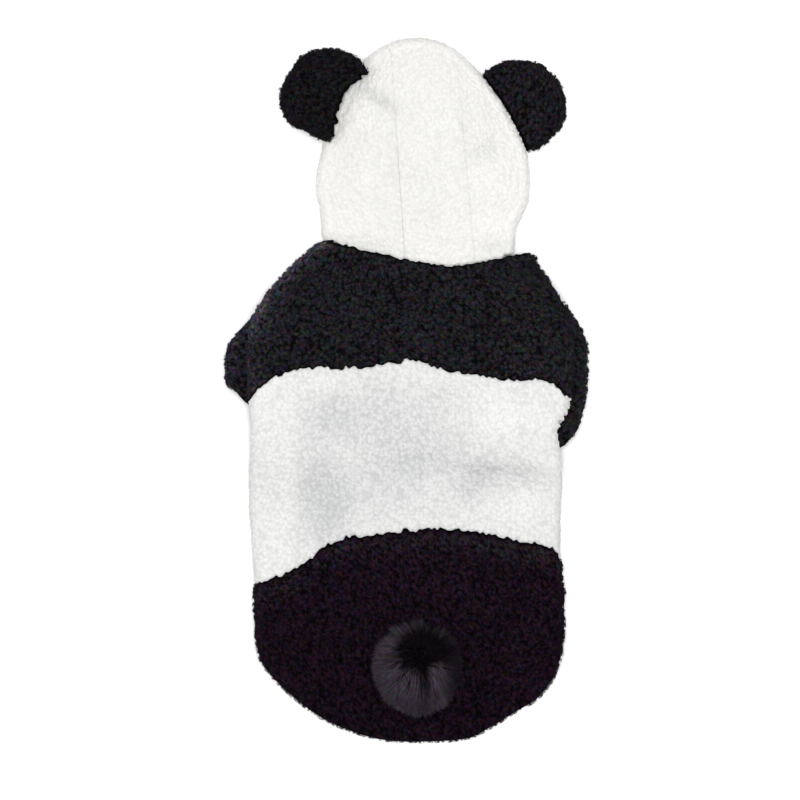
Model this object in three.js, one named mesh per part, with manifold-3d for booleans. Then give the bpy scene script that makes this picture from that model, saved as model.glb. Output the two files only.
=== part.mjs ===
// A panda dog coat of sherpa fleece, size M, laid flat with its back up and its hood spread forward.
//
// Millimetres, +Z up. The coat lies on z = 0 and the origin is the middle of its outline on that surface.
// +Y runs towards the hood, -Y towards the tail, and +X is on the right of someone who looks down on it.
// The body is one flattened tube. Its back pieces wrap round both sides and meet the chest and belly underneath.

import * as THREE from 'three';
import { mergeVertices } from 'three/addons/utils/BufferGeometryUtils.js';
import Module from 'manifold-3d';

// Driving dimensions. One fleece wall is the knit ground with its pile.
const FLEECE = 5;
const SEAM_GAP = 0.3;
const SIDE_GAP = 0.5; // across the two side seams
const FOLD_SEAM_GAP = 0.6; // along Y where a seam runs steeply over the side fold
const LAYER_GAP = 0.5;
const FOLD_RADIUS = 6.3;
const EDGE_LOFT = 2 * FOLD_RADIUS - 2 * FLEECE - LAYER_GAP; // air between the two layers beside a fold
const LEAST_LOFT = 0.9;
const LOFT_GAIN = 1.3; // more air between the layers away from the folds
const SLEEVE_BED = 11.2; // how far a folded sleeve lifts the body that lies on it
const SLEEVE_HEIGHT = 10.7;
const SLEEVE_PUFF = 2.6; // more height where nothing presses the sleeve down
const HEM_DROP = 28; // length over which the back comes down from the belly to the surface
const HOOD_RISE = 10;
const HOOD_SLOPE = 38;
const NECK_FRONT = { x: 14, y: 72 }; // middle of the throat

// Outline of the flattened body tube, from the neck to the tail.
const SIDE_EDGES = [
  { y: 102, left: -40, right: 70 },
  { y: 93.5, left: -51.5, right: 75 },
  { y: 85.5, left: -66.5, right: 79 },
  { y: 73, left: -80.3, right: 86 },
  { y: 62, left: -89, right: 93.5 },
  { y: 50, left: -96, right: 100.5 },
  { y: 35, left: -99.3, right: 104 },
  { y: 12, left: -99.8, right: 104.3 },
  { y: -6, left: -98.8, right: 102.5 },
  { y: -14, left: -98.2, right: 101.2 },
  { y: -22, left: -97.8, right: 97 },
  { y: -29, left: -97.8, right: 95.8 },
  { y: -37, left: -98, right: 96.8 },
  { y: -50, left: -98.4, right: 96.8 },
  { y: -75, left: -98.6, right: 96.2 },
  { y: -100, left: -97, right: 96 },
  { y: -120, left: -95.4, right: 96.8 },
  { y: -160, left: -94.3, right: 97.5 },
  { y: -230, left: -94.3, right: 97.5 },
];

// The two side seams on the underside, where the back pieces meet the chest and belly.
const SIDE_SEAMS = [
  { y: 94, left: -24, right: 47 },
  { y: 76, left: -42, right: 58 },
  { y: 50, left: -62, right: 69 },
  { y: 15, left: -70, right: 74 },
  { y: -30, left: -71, right: 72 },
  { y: -90, left: -70, right: 69 },
  { y: -170, left: -66, right: 68 },
];

// Seams and hems on the upper side, from left to right.
const NECK_SEAM = [
  { x: -51.3, y: 93.4 },
  { x: -43.4, y: 92.2 },
  { x: -35.6, y: 89.6 },
  { x: -20, y: 85.8 },
  { x: -10, y: 83.6 },
  { x: 0, y: 81.3 },
  { x: 11.3, y: 79.3 },
  { x: 23, y: 77.8 },
  { x: 31, y: 77.6 },
  { x: 38.6, y: 78.8 },
  { x: 48.4, y: 80.5 },
  { x: 58, y: 82.6 },
  { x: 68, y: 84.8 },
  { x: 79.2, y: 85.8 },
];
const YOKE_SEAM = [
  { x: -98.8, y: -8.5 },
  { x: -95.2, y: -1.8 },
  { x: -89.4, y: 3.1 },
  { x: -82.5, y: 7.4 },
  { x: -71, y: 11.8 },
  { x: -61, y: 13.5 },
  { x: -28, y: 13.8 },
  { x: -12, y: 16 },
  { x: 2.5, y: 18.6 },
  { x: 9.5, y: 16.6 },
  { x: 27, y: 11.8 },
  { x: 46.5, y: 9.2 },
  { x: 60, y: 6.8 },
  { x: 76, y: 5.9 },
  { x: 87.5, y: 5.2 },
  { x: 95.2, y: 0.4 },
  { x: 102, y: -6 },
];
const REAR_SEAM = [
  { x: -95.4, y: -118.8 },
  { x: -82.5, y: -116.5 },
  { x: -71, y: -112 },
  { x: -63, y: -107.6 },
  { x: -53, y: -99.6 },
  { x: -45.4, y: -94.6 },
  { x: -37.6, y: -92.4 },
  { x: -12, y: -90 },
  { x: -2.4, y: -87.7 },
  { x: 5.4, y: -88.6 },
  { x: 15, y: -86.6 },
  { x: 36.6, y: -87.6 },
  { x: 56, y: -90.6 },
  { x: 75.7, y: -95.8 },
  { x: 87.4, y: -97.8 },
  { x: 93.4, y: -100.6 },
  { x: 96.6, y: -107 },
];
const REAR_HEM = [
  { x: -94.3, y: -156 },
  { x: -93, y: -165 },
  { x: -89.4, y: -173.4 },
  { x: -80.6, y: -184.2 },
  { x: -70.8, y: -193 },
  { x: -55.2, y: -204.5 },
  { x: -41.5, y: -211.5 },
  { x: -22, y: -218 },
  { x: -4.4, y: -220.4 },
  { x: 19, y: -220.2 },
  { x: 38.6, y: -218.2 },
  { x: 52.3, y: -211.5 },
  { x: 68, y: -201.8 },
  { x: 81.6, y: -193.4 },
  { x: 91.3, y: -181.2 },
  { x: 96.3, y: -168 },
  { x: 97.5, y: -156 },
];
// The same seams where they run on the underside.
const YOKE_SEAM_UNDER = -12;
const REAR_SEAM_UNDER = -114;
const NECK_SEAM_UNDER = [{ x: -51.3, y: 93.4 }, NECK_FRONT, { x: 79.2, y: 85.8 }];
const BELLY_HEM = { centre: 1, halfWidth: 95, middle: -122, scoop: 38, power: 2.2 };

// Soft troughs of the back: centre, half length, half width, the direction in degrees from +X, and depth.
const CREASES = [
  { x: -52, y: -52, long: 52, wide: 11, turn: 76, depth: 2.2 },
  { x: 48, y: -50, long: 52, wide: 9, turn: -3, depth: 2.3 },
  { x: -18, y: -30, long: 36, wide: 13, turn: -34, depth: 1.8 },
  { x: -10, y: 52, long: 44, wide: 12, turn: 12, depth: 1.6 },
  { x: -58, y: 60, long: 30, wide: 10, turn: 52, depth: 1.6 },
  { x: 62, y: 44, long: 36, wide: 12, turn: -48, depth: 1.7 },
  { x: -48, y: -118, long: 30, wide: 10, turn: 30, depth: 1.7 },
  { x: 58, y: -122, long: 34, wide: 11, turn: -24, depth: 1.6 },
];

// Each folded sleeve: its outer fold, its inner fold under the body, the armhole end, the cuff from the
// outside in, and the flat armhole above it.
const SLEEVES = {
  left: {
    side: -1,
    inner: -62,
    mouth: 49,
    outer: [
      { y: 50, x: -94.6 },
      { y: 37.3, x: -105.6 },
      { y: 28.5, x: -112 },
      { y: 15, x: -113.6 },
      { y: 3, x: -112.6 },
      { y: -30, x: -108 },
    ],
    cuff: [
      { x: -112.6, y: 3 },
      { x: -107.9, y: -1 },
      { x: -98.6, y: -9.4 },
      { x: -84, y: -14.5 },
      { x: -62, y: -17 },
    ],
    bed: { inner: 52, front: 54, rear: -27 },
    armhole: { from: -92, to: -48, y: 46 },
  },
  right: {
    side: 1,
    inner: 60,
    mouth: 54,
    outer: [
      { y: 55, x: 99 },
      { y: 49, x: 103.4 },
      { y: 40, x: 108.9 },
      { y: 28.5, x: 112.8 },
      { y: 15, x: 113.5 },
      { y: 1, x: 112.9 },
      { y: -16, x: 109.8 },
      { y: -27, x: 106.5 },
      { y: -50, x: 104 },
    ],
    cuff: [
      { x: 60, y: -42 },
      { x: 82, y: -40 },
      { x: 98.2, y: -35 },
      { x: 103, y: -30.5 },
      { x: 108, y: -22 },
    ],
    bed: { inner: 50, front: 59, rear: -51 },
    armhole: { from: 50, to: 96, y: 51 },
  },
};
const ARMHOLE_SLIT = 3.4;
const BED_SLOPE = 26;
const BED_SLOPE_FRONT = 18;

// Outline of the hood from its left neck corner over the crown to its right one, and its two seams.
const HOOD_OUTLINE = [
  [-52.8, 93.6], [-53.4, 103], [-54.6, 114], [-56.9, 125], [-55.8, 139], [-53, 151], [-48.1, 169],
  [-38.8, 190], [-26.3, 206.8], [-12.5, 216.4], [-2, 219.8], [8, 220.4], [17, 219], [25.6, 215.6],
  [34.4, 209.6], [42, 201.8], [49.4, 193.4], [59.4, 180], [68.1, 164.4], [74.4, 150], [76.6, 134],
  [76.2, 120], [73, 110.5], [69, 103], [67.7, 95], [67.5, 84.9],
];
const HOOD_SEAMS = {
  left: { neckX: -1.3, crown: 0.419 },
  right: { neckX: 42.5, crown: 0.578 },
};
const CROWN_MARGIN = 3; // length of seam between the flat of the hood and its fold
const FACE = { x: 12, y: 142, halfWidth: 36, halfLength: 52, throat: 0.04 };

// Each ear is a stuffed disc cut by a chord, where it is sewn on.
const EARS = {
  left: { at: [-34.8, 178.5], outward: 154, radius: 29.4, chord: 17.2, shift: -1.3, bow: 5.9, onTop: true },
  right: { at: [61.8, 172.7], outward: 33.2, radius: 29, chord: 10.6, shift: 0.4, bow: 0, onTop: false },
};
const EAR = { thick: 11.5, rim: 3.2, base: 7, bed: 12.8, bedStart: 2, bedEnd: 36, gap: 0.45 };

const POMPOM = { x: 6.9, y: -174, radius: 30, centreUp: 25, core: 15.5, locks: 190, lockWidth: 1.35 };

const wasm = await Module();
wasm.setup();

// Small helpers.
const lerp = THREE.MathUtils.lerp;
const radians = THREE.MathUtils.degToRad;
const clamp01 = (t) => Math.min(1, Math.max(0, t));
const ease = (t) => THREE.MathUtils.smoothstep(t, 0, 1);
const range = (n) => Array.from({ length: n + 1 }, (_, i) => i / n);

// A smooth curve through a table's rows, as value against key. It is level past both ends.
function smooth(table, key, value) {
  const rows = [...table].sort((a, b) => a[key] - b[key]);
  const slope = (i) => {
    const [a, b] = [rows[Math.max(0, i - 1)], rows[Math.min(rows.length - 1, i + 1)]];
    return (b[value] - a[value]) / (b[key] - a[key]);
  };
  return (at) => {
    if (at <= rows[0][key]) return rows[0][value];
    const next = rows.findIndex((row) => row[key] >= at);
    if (next < 0) return rows.at(-1)[value];
    const [a, b] = [rows[next - 1], rows[next]];
    const width = b[key] - a[key];
    const t = (at - a[key]) / width;
    const [t2, t3] = [t * t, t * t * t];
    return (
      (2 * t3 - 3 * t2 + 1) * a[value] +
      (t3 - 2 * t2 + t) * width * slope(next - 1) +
      (3 * t2 - 2 * t3) * b[value] +
      (t3 - t2) * width * slope(next)
    );
  };
}

// Straight lines through a table's rows.
function straight(table, key, value) {
  return (at) => {
    const next = table.findIndex((row) => row[key] >= at);
    if (next <= 0) return next < 0 ? table.at(-1)[value] : table[0][value];
    const [a, b] = [table[next - 1], table[next]];
    return lerp(a[value], b[value], (at - a[key]) / (b[key] - a[key]));
  };
}

// Where y = seam(x(y)), for a column whose x changes a little with y.
function crossing(xAt, seam) {
  let [low, high] = [-235, 112];
  for (let i = 0; i < 44; i += 1) {
    const y = (low + high) / 2;
    if (y < seam(xAt(y))) low = y;
    else high = y;
  }
  return (low + high) / 2;
}

// The closed geometry of a wall from two grids of points, rows by columns. A ring's last column meets its first.
function wall(outer, inner, ring = false) {
  const [rows, columns] = [outer.length, outer[0].length];
  const points = [...outer.flat(), ...inner.flat()];
  const out = (i, j) => i * columns + (j % columns);
  const into = (i, j) => rows * columns + out(i, j);
  const faces = [];
  const quad = (a, b, c, d) => faces.push(a, b, c, a, c, d);
  const last = ring ? columns : columns - 1;
  for (let j = 0; j < last; j += 1) {
    for (let i = 0; i + 1 < rows; i += 1) {
      quad(out(i, j), out(i + 1, j), out(i + 1, j + 1), out(i, j + 1));
      quad(into(i, j), into(i, j + 1), into(i + 1, j + 1), into(i + 1, j));
    }
    quad(out(0, j), out(0, j + 1), into(0, j + 1), into(0, j));
    quad(out(rows - 1, j), into(rows - 1, j), into(rows - 1, j + 1), out(rows - 1, j + 1));
  }
  for (let i = 0; !ring && i + 1 < rows; i += 1) {
    quad(out(i, 0), into(i, 0), into(i + 1, 0), out(i + 1, 0));
    quad(out(i, last), out(i + 1, last), into(i + 1, last), into(i, last));
  }
  return facingOut(points, faces);
}

function facingOut(points, faces) {
  let volume = 0;
  const [a, b, c] = [new THREE.Vector3(), new THREE.Vector3(), new THREE.Vector3()];
  for (let i = 0; i < faces.length; i += 3) {
    [a, b, c].forEach((corner, k) => corner.fromArray(points[faces[i + k]]));
    volume += a.dot(b.cross(c));
  }
  const geometry = new THREE.BufferGeometry();
  geometry.setAttribute('position', new THREE.Float32BufferAttribute(points.flat(), 3));
  geometry.setIndex(volume < 0 ? [...faces].reverse() : faces);
  return geometry;
}

function toSolid(geometry) {
  const bare = geometry.clone();
  for (const name of Object.keys(bare.attributes)) if (name !== 'position') bare.deleteAttribute(name);
  const merged = mergeVertices(bare, 1e-4);
  return new wasm.Manifold(
    new wasm.Mesh({
      numProp: 3,
      vertProperties: merged.attributes.position.array,
      triVerts: new Uint32Array(merged.index.array),
    }),
  );
}

function fromSolid(solid) {
  const mesh = solid.getMesh();
  const geometry = new THREE.BufferGeometry();
  geometry.setAttribute('position', new THREE.BufferAttribute(mesh.vertProperties, 3));
  geometry.setIndex(new THREE.BufferAttribute(mesh.triVerts, 1));
  return geometry;
}

// Body tube.
const leftEdge = smooth(SIDE_EDGES, 'y', 'left');
const rightEdge = smooth(SIDE_EDGES, 'y', 'right');
const edgeOf = (side, y) => (side < 0 ? leftEdge(y) : rightEdge(y));
const foldAxis = (side, y) => edgeOf(side, y) - side * FOLD_RADIUS;
const leftSeam = smooth(SIDE_SEAMS, 'y', 'left');
const rightSeam = smooth(SIDE_SEAMS, 'y', 'right');
const sideSeam = (side, y) => (side < 0 ? leftSeam(y) : rightSeam(y));

// How high the underside lies, because of the sleeves folded below it.
function lift(x, y) {
  const beds = Object.values(SLEEVES).map(({ side, bed }) => {
    const across = ease((side * x - bed.inner) / BED_SLOPE + 1);
    const along = ease((bed.front - y) / BED_SLOPE_FRONT + 1) * ease((y - bed.rear) / BED_SLOPE + 1);
    return across * along;
  });
  return SLEEVE_BED * Math.max(...beds);
}

function bellyHem(x) {
  const across = Math.abs((x - BELLY_HEM.centre) / BELLY_HEM.halfWidth);
  return BELLY_HEM.middle - BELLY_HEM.scoop * across ** BELLY_HEM.power;
}

function creases(x, y) {
  return CREASES.reduce((sum, crease) => {
    const [c, s] = [Math.cos(radians(crease.turn)), Math.sin(radians(crease.turn))];
    const along = ((x - crease.x) * c + (y - crease.y) * s) / crease.long;
    const across = ((y - crease.y) * c - (x - crease.x) * s) / crease.wide;
    return sum + crease.depth * Math.exp(-(along ** 4) - across ** 2);
  }, 0);
}

// The underside of the back layer: on the belly layer, then down to the surface past the belly's hem.
function underBack(x, y) {
  const inward = Math.min(x - foldAxis(-1, y), foldAxis(1, y) - x);
  const swell = LOFT_GAIN * ease(inward / 45) - creases(x, y) * ease(inward / 14);
  const loft = Math.max(LEAST_LOFT, EDGE_LOFT + swell);
  const held = ease((y - bellyHem(x)) / HEM_DROP + 1);
  return lift(x, y) + held * (FLEECE + LAYER_GAP + loft);
}

// The columns of a back piece: left side seam, left fold, back, right fold, right side seam.
const FLANGE_STEPS = 2;
const FOLD_STEPS = 4;
const BACK_STEPS = 20;
const wrapColumns = [
  ...range(FLANGE_STEPS).map((t) => ({ part: 'flange', side: -1, t: 1 - t })),
  ...range(FOLD_STEPS).slice(1, -1).map((t) => ({ part: 'fold', side: -1, t: 1 - t })),
  ...range(BACK_STEPS).map((t) => ({ part: 'back', side: t < 0.5 ? -1 : 1, t })),
  ...range(FOLD_STEPS).slice(1, -1).map((t) => ({ part: 'fold', side: 1, t })),
  ...range(FLANGE_STEPS).map((t) => ({ part: 'flange', side: 1, t })),
];

function bodyPoint({ part, side, t }, y, depth) {
  const axis = foldAxis(side, y);
  if (part === 'back') {
    const x = lerp(foldAxis(-1, y), foldAxis(1, y), t);
    return [x, y, underBack(x, y) + FLEECE - depth];
  }
  if (part === 'fold') {
    const reach = FOLD_RADIUS - depth;
    const angle = t * Math.PI;
    const up = lift(axis, y) + FOLD_RADIUS + reach * Math.cos(angle);
    return [axis + side * reach * Math.sin(angle), y, up];
  }
  const x = lerp(axis, sideSeam(side, y), t);
  return [x, y, lift(x, y) + depth];
}

// Where a seam crosses a column. Past the outermost point of the fold it goes over to its line below.
function seamAt(column, above, below) {
  const xAt = (y) => bodyPoint(column, y, 0)[0];
  if (column.part === 'back' || (column.part === 'fold' && column.t <= 0.5)) return crossing(xAt, above);
  if (column.part === 'flange') return crossing(xAt, below);
  const rounded = ease(2 * column.t - 1);
  return lerp(crossing(xAt, above), crossing(xAt, below), rounded);
}

function wrapPanel(front, rear, rows) {
  const spans = wrapColumns.map((column) => {
    const gap = column.part === 'fold' ? FOLD_SEAM_GAP : SEAM_GAP;
    return [seamAt(column, ...front) - gap / 2, seamAt(column, ...rear) + gap / 2];
  });
  const grid = (depth) =>
    range(rows).map((v) => wrapColumns.map((column, j) => bodyPoint(column, lerp(...spans[j], v), depth)));
  return wall(grid(0), grid(FLEECE));
}

// A piece of the lower layer, between the two side seams.
function underPanel(front, rear, columns, rows) {
  const grid = (depth) =>
    range(rows).map((v) =>
      range(columns).map((t) => {
        const xAt = (y) =>
          t < 0.5
            ? lerp(sideSeam(-1, y) + SIDE_GAP, NECK_FRONT.x, 2 * t)
            : lerp(NECK_FRONT.x, sideSeam(1, y) - SIDE_GAP, 2 * t - 1);
        const y = lerp(crossing(xAt, front) - SEAM_GAP / 2, crossing(xAt, rear) + SEAM_GAP / 2, v);
        return [xAt(y), y, lift(xAt(y), y) + depth];
      }),
    );
  return wall(grid(FLEECE), grid(0));
}

const neckSeam = smooth(NECK_SEAM, 'x', 'y');
const neckSeamUnder = straight(NECK_SEAM_UNDER, 'x', 'y');
const neck = [neckSeam, neckSeamUnder];
const yokeSeam = [smooth(YOKE_SEAM, 'x', 'y'), () => YOKE_SEAM_UNDER];
const rearSeam = [smooth(REAR_SEAM, 'x', 'y'), () => REAR_SEAM_UNDER];
const rearHem = [smooth(REAR_HEM, 'x', 'y'), bellyHem];

// The armhole lies flat as a slit in the lower layer, under the back and over the mouth of the sleeve.
function cutArmholes(geometry) {
  const cut = Object.values(SLEEVES).reduce((solid, { armhole }) => {
    const bottom = SLEEVE_BED - 2;
    const top = SLEEVE_BED + FLEECE + LAYER_GAP;
    const slit = new THREE.BoxGeometry(armhole.to - armhole.from, ARMHOLE_SLIT, top - bottom);
    slit.translate((armhole.from + armhole.to) / 2, armhole.y, (top + bottom) / 2);
    return solid.subtract(toSolid(slit));
  }, toSolid(geometry));
  return fromSolid(cut);
}

// A folded sleeve: a flattened tube, higher where it looks out from under the body.
const SLEEVE_STEPS = { flat: 5, fold: 4, rows: 9 };
const sleeveColumns = [
  ...range(SLEEVE_STEPS.flat).map((t) => ({ part: 'top', t })),
  ...range(SLEEVE_STEPS.fold).slice(1, -1).map((t) => ({ part: 'outerFold', t })),
  ...range(SLEEVE_STEPS.flat).map((t) => ({ part: 'bottom', t: 1 - t })),
  ...range(SLEEVE_STEPS.fold).slice(1, -1).map((t) => ({ part: 'innerFold', t: 1 - t })),
];

function sleeve({ side, inner, mouth, outer, cuff }) {
  const outerEdge = smooth(outer, 'y', 'x');
  const cuffLine = smooth(cuff, 'x', 'y');
  const heightAt = (x, y) =>
    SLEEVE_HEIGHT + SLEEVE_PUFF * ease((side * (x - foldAxis(side, y)) - 1) / 13);
  const pointAt = ({ part, t }, y, depth) => {
    const outerHeight = heightAt(outerEdge(y) - side * FOLD_RADIUS * 0.7, y);
    const outerAxis = outerEdge(y) - (side * outerHeight) / 2;
    const innerAxis = inner + (side * SLEEVE_HEIGHT) / 2;
    if (part === 'outerFold' || part === 'innerFold') {
      const [axis, way, height] =
        part === 'outerFold' ? [outerAxis, side, outerHeight] : [innerAxis, -side, SLEEVE_HEIGHT];
      const reach = height / 2 - depth;
      return [axis + way * reach * Math.sin(t * Math.PI), y, height / 2 + reach * Math.cos(t * Math.PI)];
    }
    const x = lerp(innerAxis, outerAxis, t);
    const height = Math.min(heightAt(x, y), outerHeight);
    return [x, y, part === 'top' ? height - depth : depth];
  };
  const ends = sleeveColumns.map((column) => crossing((y) => pointAt(column, y, 0)[0], cuffLine));
  const grid = (depth) =>
    range(SLEEVE_STEPS.rows).map((v) =>
      sleeveColumns.map((column, j) => pointAt(column, lerp(mouth, ends[j], v), depth)),
    );
  return wall(grid(0), grid(FLEECE), true);
}

// Hood. u runs along its outline from the left neck corner to the right one.
const hoodOutline = new THREE.SplineCurve(HOOD_OUTLINE.map(([x, y]) => new THREE.Vector2(x, y)));
hoodOutline.arcLengthDivisions = 400;
const outlineSamples = hoodOutline.getSpacedPoints(240);

function onOutline(u, inward) {
  const point = hoodOutline.getPointAt(clamp01(u));
  const tangent = hoodOutline.getTangentAt(clamp01(u));
  return new THREE.Vector2(point.x + tangent.y * inward, point.y - tangent.x * inward);
}

const fromOutline = (x, y) => Math.min(...outlineSamples.map((p) => Math.hypot(p.x - x, p.y - y)));

// The outer surface of the hood's upper layer.
function hoodTop(x, y) {
  const inside = clamp01((fromOutline(x, y) - FOLD_RADIUS) / HOOD_SLOPE);
  return 2 * FOLD_RADIUS + HOOD_RISE * Math.sin((inside * Math.PI) / 2) * ease((y - 72) / 62);
}

// The edge of the hood's lower layer: up the throat seam, then round the face opening.
function faceEdge(u, side) {
  const share = side < 0 ? u : 1 - u;
  const throatTop = FACE.y - FACE.halfLength;
  if (share < FACE.throat) {
    return new THREE.Vector2(
      NECK_FRONT.x + (side * SEAM_GAP) / 2,
      lerp(NECK_FRONT.y + SEAM_GAP, throatTop, share / FACE.throat),
    );
  }
  const crown = (HOOD_SEAMS.left.crown + HOOD_SEAMS.right.crown) / 2;
  const whole = side < 0 ? crown : 1 - crown;
  const round = ((share - FACE.throat) / (whole - FACE.throat)) * Math.PI;
  const throatShift = (NECK_FRONT.x - FACE.x) * (1 - ease(round));
  return new THREE.Vector2(
    FACE.x + throatShift + side * FACE.halfWidth * Math.sin(round) + (side * SEAM_GAP) / 2,
    FACE.y - FACE.halfLength * Math.cos(round),
  );
}

const crownMiddle = (HOOD_SEAMS.left.crown + HOOD_SEAMS.right.crown) / 2;
const rimOf = (u) => faceEdge(u, u < crownMiddle ? -1 : 1);

// One hood piece: from its start line over the flat of the hood, round the fold and back to the face opening.
function hoodPiece(from, to, columns, startOf, flatSteps) {
  const foldSteps = 4;
  const rimSteps = 3;
  const pathAt = (u, depth) => {
    const flatEnd = onOutline(u, FOLD_RADIUS);
    const start = startOf(u);
    const rim = rimOf(u);
    const flat = range(flatSteps).map((t) => start.clone().lerp(flatEnd, t));
    const points = flat.map((p, i) => {
      const top = i === flatSteps ? 2 * FOLD_RADIUS : hoodTop(p.x, p.y);
      return [p.x, p.y, top - depth];
    });
    for (const t of range(foldSteps).slice(1, -1)) {
      const reach = FOLD_RADIUS - depth;
      const p = onOutline(u, FOLD_RADIUS - reach * Math.sin(t * Math.PI));
      points.push([p.x, p.y, FOLD_RADIUS + reach * Math.cos(t * Math.PI)]);
    }
    for (const t of range(rimSteps)) {
      const p = flatEnd.clone().lerp(rim, t);
      points.push([p.x, p.y, depth]);
    }
    return points;
  };
  const grid = (depth) => range(columns).map((t) => pathAt(lerp(from, to, t), depth));
  return wall(grid(0), grid(FLEECE));
}

// The straight seam from the neck to the crown, at a share of its length, moved sideways by half the gap.
function seamLine(seam, t, sideways) {
  const crown = onOutline(seam.crown, FOLD_RADIUS);
  const neckEnd = new THREE.Vector2(seam.neckX, neckSeam(seam.neckX) + SEAM_GAP / 2);
  const length = crown.distanceTo(neckEnd);
  const p = neckEnd.lerp(crown, t * (1 - CROWN_MARGIN / length));
  return new THREE.Vector2(p.x + sideways, p.y);
}

const half = SEAM_GAP / 2;
const gapShare = (1.3 * half) / hoodOutline.getLength();

function hoodSide(seam, from, to, sideways) {
  const neckU = from === 0 ? from : to;
  const span = to - from;
  return hoodPiece(from, to, 15, (u) => seamLine(seam, Math.abs(u - neckU) / span, sideways), 5);
}

function hoodCentre() {
  const [from, to] = [HOOD_SEAMS.left.crown + gapShare, HOOD_SEAMS.right.crown - gapShare];
  const start = (u) => {
    const t = (u - from) / (to - from);
    const x = lerp(HOOD_SEAMS.left.neckX + half, HOOD_SEAMS.right.neckX - half, t);
    return new THREE.Vector2(x, neckSeam(x) + half);
  };
  return hoodPiece(from, to, 6, start, 10);
}

// A stuffed ear: a fan of columns from its base line to its round edge.
function ear({ at, outward, radius, chord, shift, bow, onTop }) {
  const out = new THREE.Vector2(1, 0).rotateAround(new THREE.Vector2(), radians(outward));
  const along = new THREE.Vector2(out.y, -out.x);
  const base = new THREE.Vector2(...at);
  const place = (a, o) => base.clone().addScaledVector(along, a).addScaledVector(out, o);
  const halfBase = Math.sqrt(radius ** 2 - chord ** 2);
  const hoodReach = (a) => {
    const rows = outlineSamples
      .map((p) => ({ a: along.dot(p.clone().sub(base)), o: out.dot(p.clone().sub(base)) }))
      .filter((row) => row.o > -20)
      .sort((p, q) => p.a - q.a);
    return straight(rows, 'a', 'o')(a);
  };
  const baseOut = (a) => (onTop ? bow * (1 - (a / halfBase) ** 2) : hoodReach(a) + EAR.gap);
  const dip = Math.asin(chord / radius);
  const ringSteps = [0, 0.22, 0.44, 0.64, 0.8, 0.92, 1];
  const grid = (top) =>
    ringSteps.map((share) =>
      range(14).map((t) => {
        const angle = lerp(-dip * 0.86, Math.PI + dip * 0.86, t);
        const [edgeA, edgeO] = [shift + radius * Math.cos(angle), chord + radius * Math.sin(angle)];
        const baseA = edgeA * lerp(halfBase / radius, 1, Math.abs(Math.cos(angle)) * 0.2) * 0.98;
        const startO = baseOut(THREE.MathUtils.clamp(baseA, -halfBase, halfBase));
        const a = lerp(baseA, edgeA, share);
        const o = lerp(startO, Math.max(edgeO, startO + 1.5), share);
        const p = place(a, o);
        const dropped = EAR.bed * (1 - ease((o - EAR.bedStart) / (EAR.bedEnd - EAR.bedStart)));
        const bottom = onTop ? EAR.gap + Math.max(dropped, hoodSurface(p.x, p.y)) : 0;
        const swell = Math.sqrt(Math.max(0, 1 - share ** 3)) * Math.sin(clamp01(t * 4 + 0.15) * (Math.PI / 2))
          * Math.sin(clamp01((1 - t) * 4 + 0.15) * (Math.PI / 2));
        const thick = EAR.rim + (EAR.thick - EAR.rim) * swell * lerp(EAR.base / EAR.thick, 1, ease(share * 2.4));
        return [p.x, p.y, bottom + (top ? thick : 0)];
      }),
    );
  return wall(grid(true), grid(false));
}

// The top of the hood anywhere, its round fold included, and 0 outside it.
function hoodSurface(x, y) {
  const inside = new THREE.Vector2(x, y);
  const distance = fromOutline(x, y);
  const within = insideOutline(inside);
  if (!within) return 0;
  if (distance >= FOLD_RADIUS) return hoodTop(x, y);
  return FOLD_RADIUS + Math.sqrt(FOLD_RADIUS ** 2 - (FOLD_RADIUS - distance) ** 2);
}

function insideOutline(p) {
  let within = false;
  outlineSamples.forEach((a, i) => {
    const b = outlineSamples[(i + 1) % outlineSamples.length];
    const crosses = a.y > p.y !== b.y > p.y;
    if (crosses && p.x < lerp(a.x, b.x, (p.y - a.y) / (b.y - a.y))) within = !within;
  });
  return within;
}

// One lock of the pompom: three sides, widest near its end, from inside the core to the ball's surface.
function lock(direction, from, to, width, turn) {
  const sideways = new THREE.Vector3(0, 0, 1).cross(direction);
  if (sideways.lengthSq() < 1e-3) sideways.set(1, 0, 0);
  sideways.normalize();
  const other = direction.clone().cross(sideways);
  const rings = [
    { at: from, wide: 0.75 },
    { at: lerp(from, to, 0.72), wide: 1.5 },
  ];
  const points = rings.flatMap(({ at, wide }) =>
    [0, 1, 2].map((k) => {
      const angle = turn + (k * 2 * Math.PI) / 3;
      return direction
        .clone()
        .multiplyScalar(at)
        .addScaledVector(sideways, width * wide * Math.cos(angle))
        .addScaledVector(other, width * wide * Math.sin(angle))
        .toArray();
    }),
  );
  points.push(direction.clone().multiplyScalar(to).toArray());
  const faces = [0, 2, 1];
  for (let k = 0; k < 3; k += 1) {
    const n = (k + 1) % 3;
    faces.push(k, n, n + 3, k, n + 3, k + 3, k + 3, n + 3, 6);
  }
  return facingOut(points, faces);
}

function pompom() {
  const { core, locks, radius, centreUp, lockWidth } = POMPOM;
  const golden = Math.PI * (3 - Math.sqrt(5));
  const solids = [toSolid(new THREE.IcosahedronGeometry(core, 2))];
  const centreShift = centreUp - core;
  for (let i = 0; i < locks; i += 1) {
    const z = 1 - (2 * (i + 0.5)) / locks;
    const flat = Math.sqrt(1 - z * z);
    const direction = new THREE.Vector3(flat * Math.cos(i * golden), flat * Math.sin(i * golden), z);
    // The ball's surface along this direction, seen from the core, and the cloth below.
    const b = direction.z * centreShift;
    const toBall = b + Math.sqrt(b * b + radius ** 2 - centreShift ** 2);
    const toCloth = direction.z < 0 ? (core - 0.4) / -direction.z : Infinity;
    const reach = Math.min(toBall, toCloth) * (0.97 + 0.03 * Math.sin(i * 2.4));
    if (reach > core + 2.5) solids.push(toSolid(lock(direction, core * 0.82, reach, lockWidth, i)));
  }
  return fromSolid(wasm.Manifold.union(solids));
}

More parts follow.
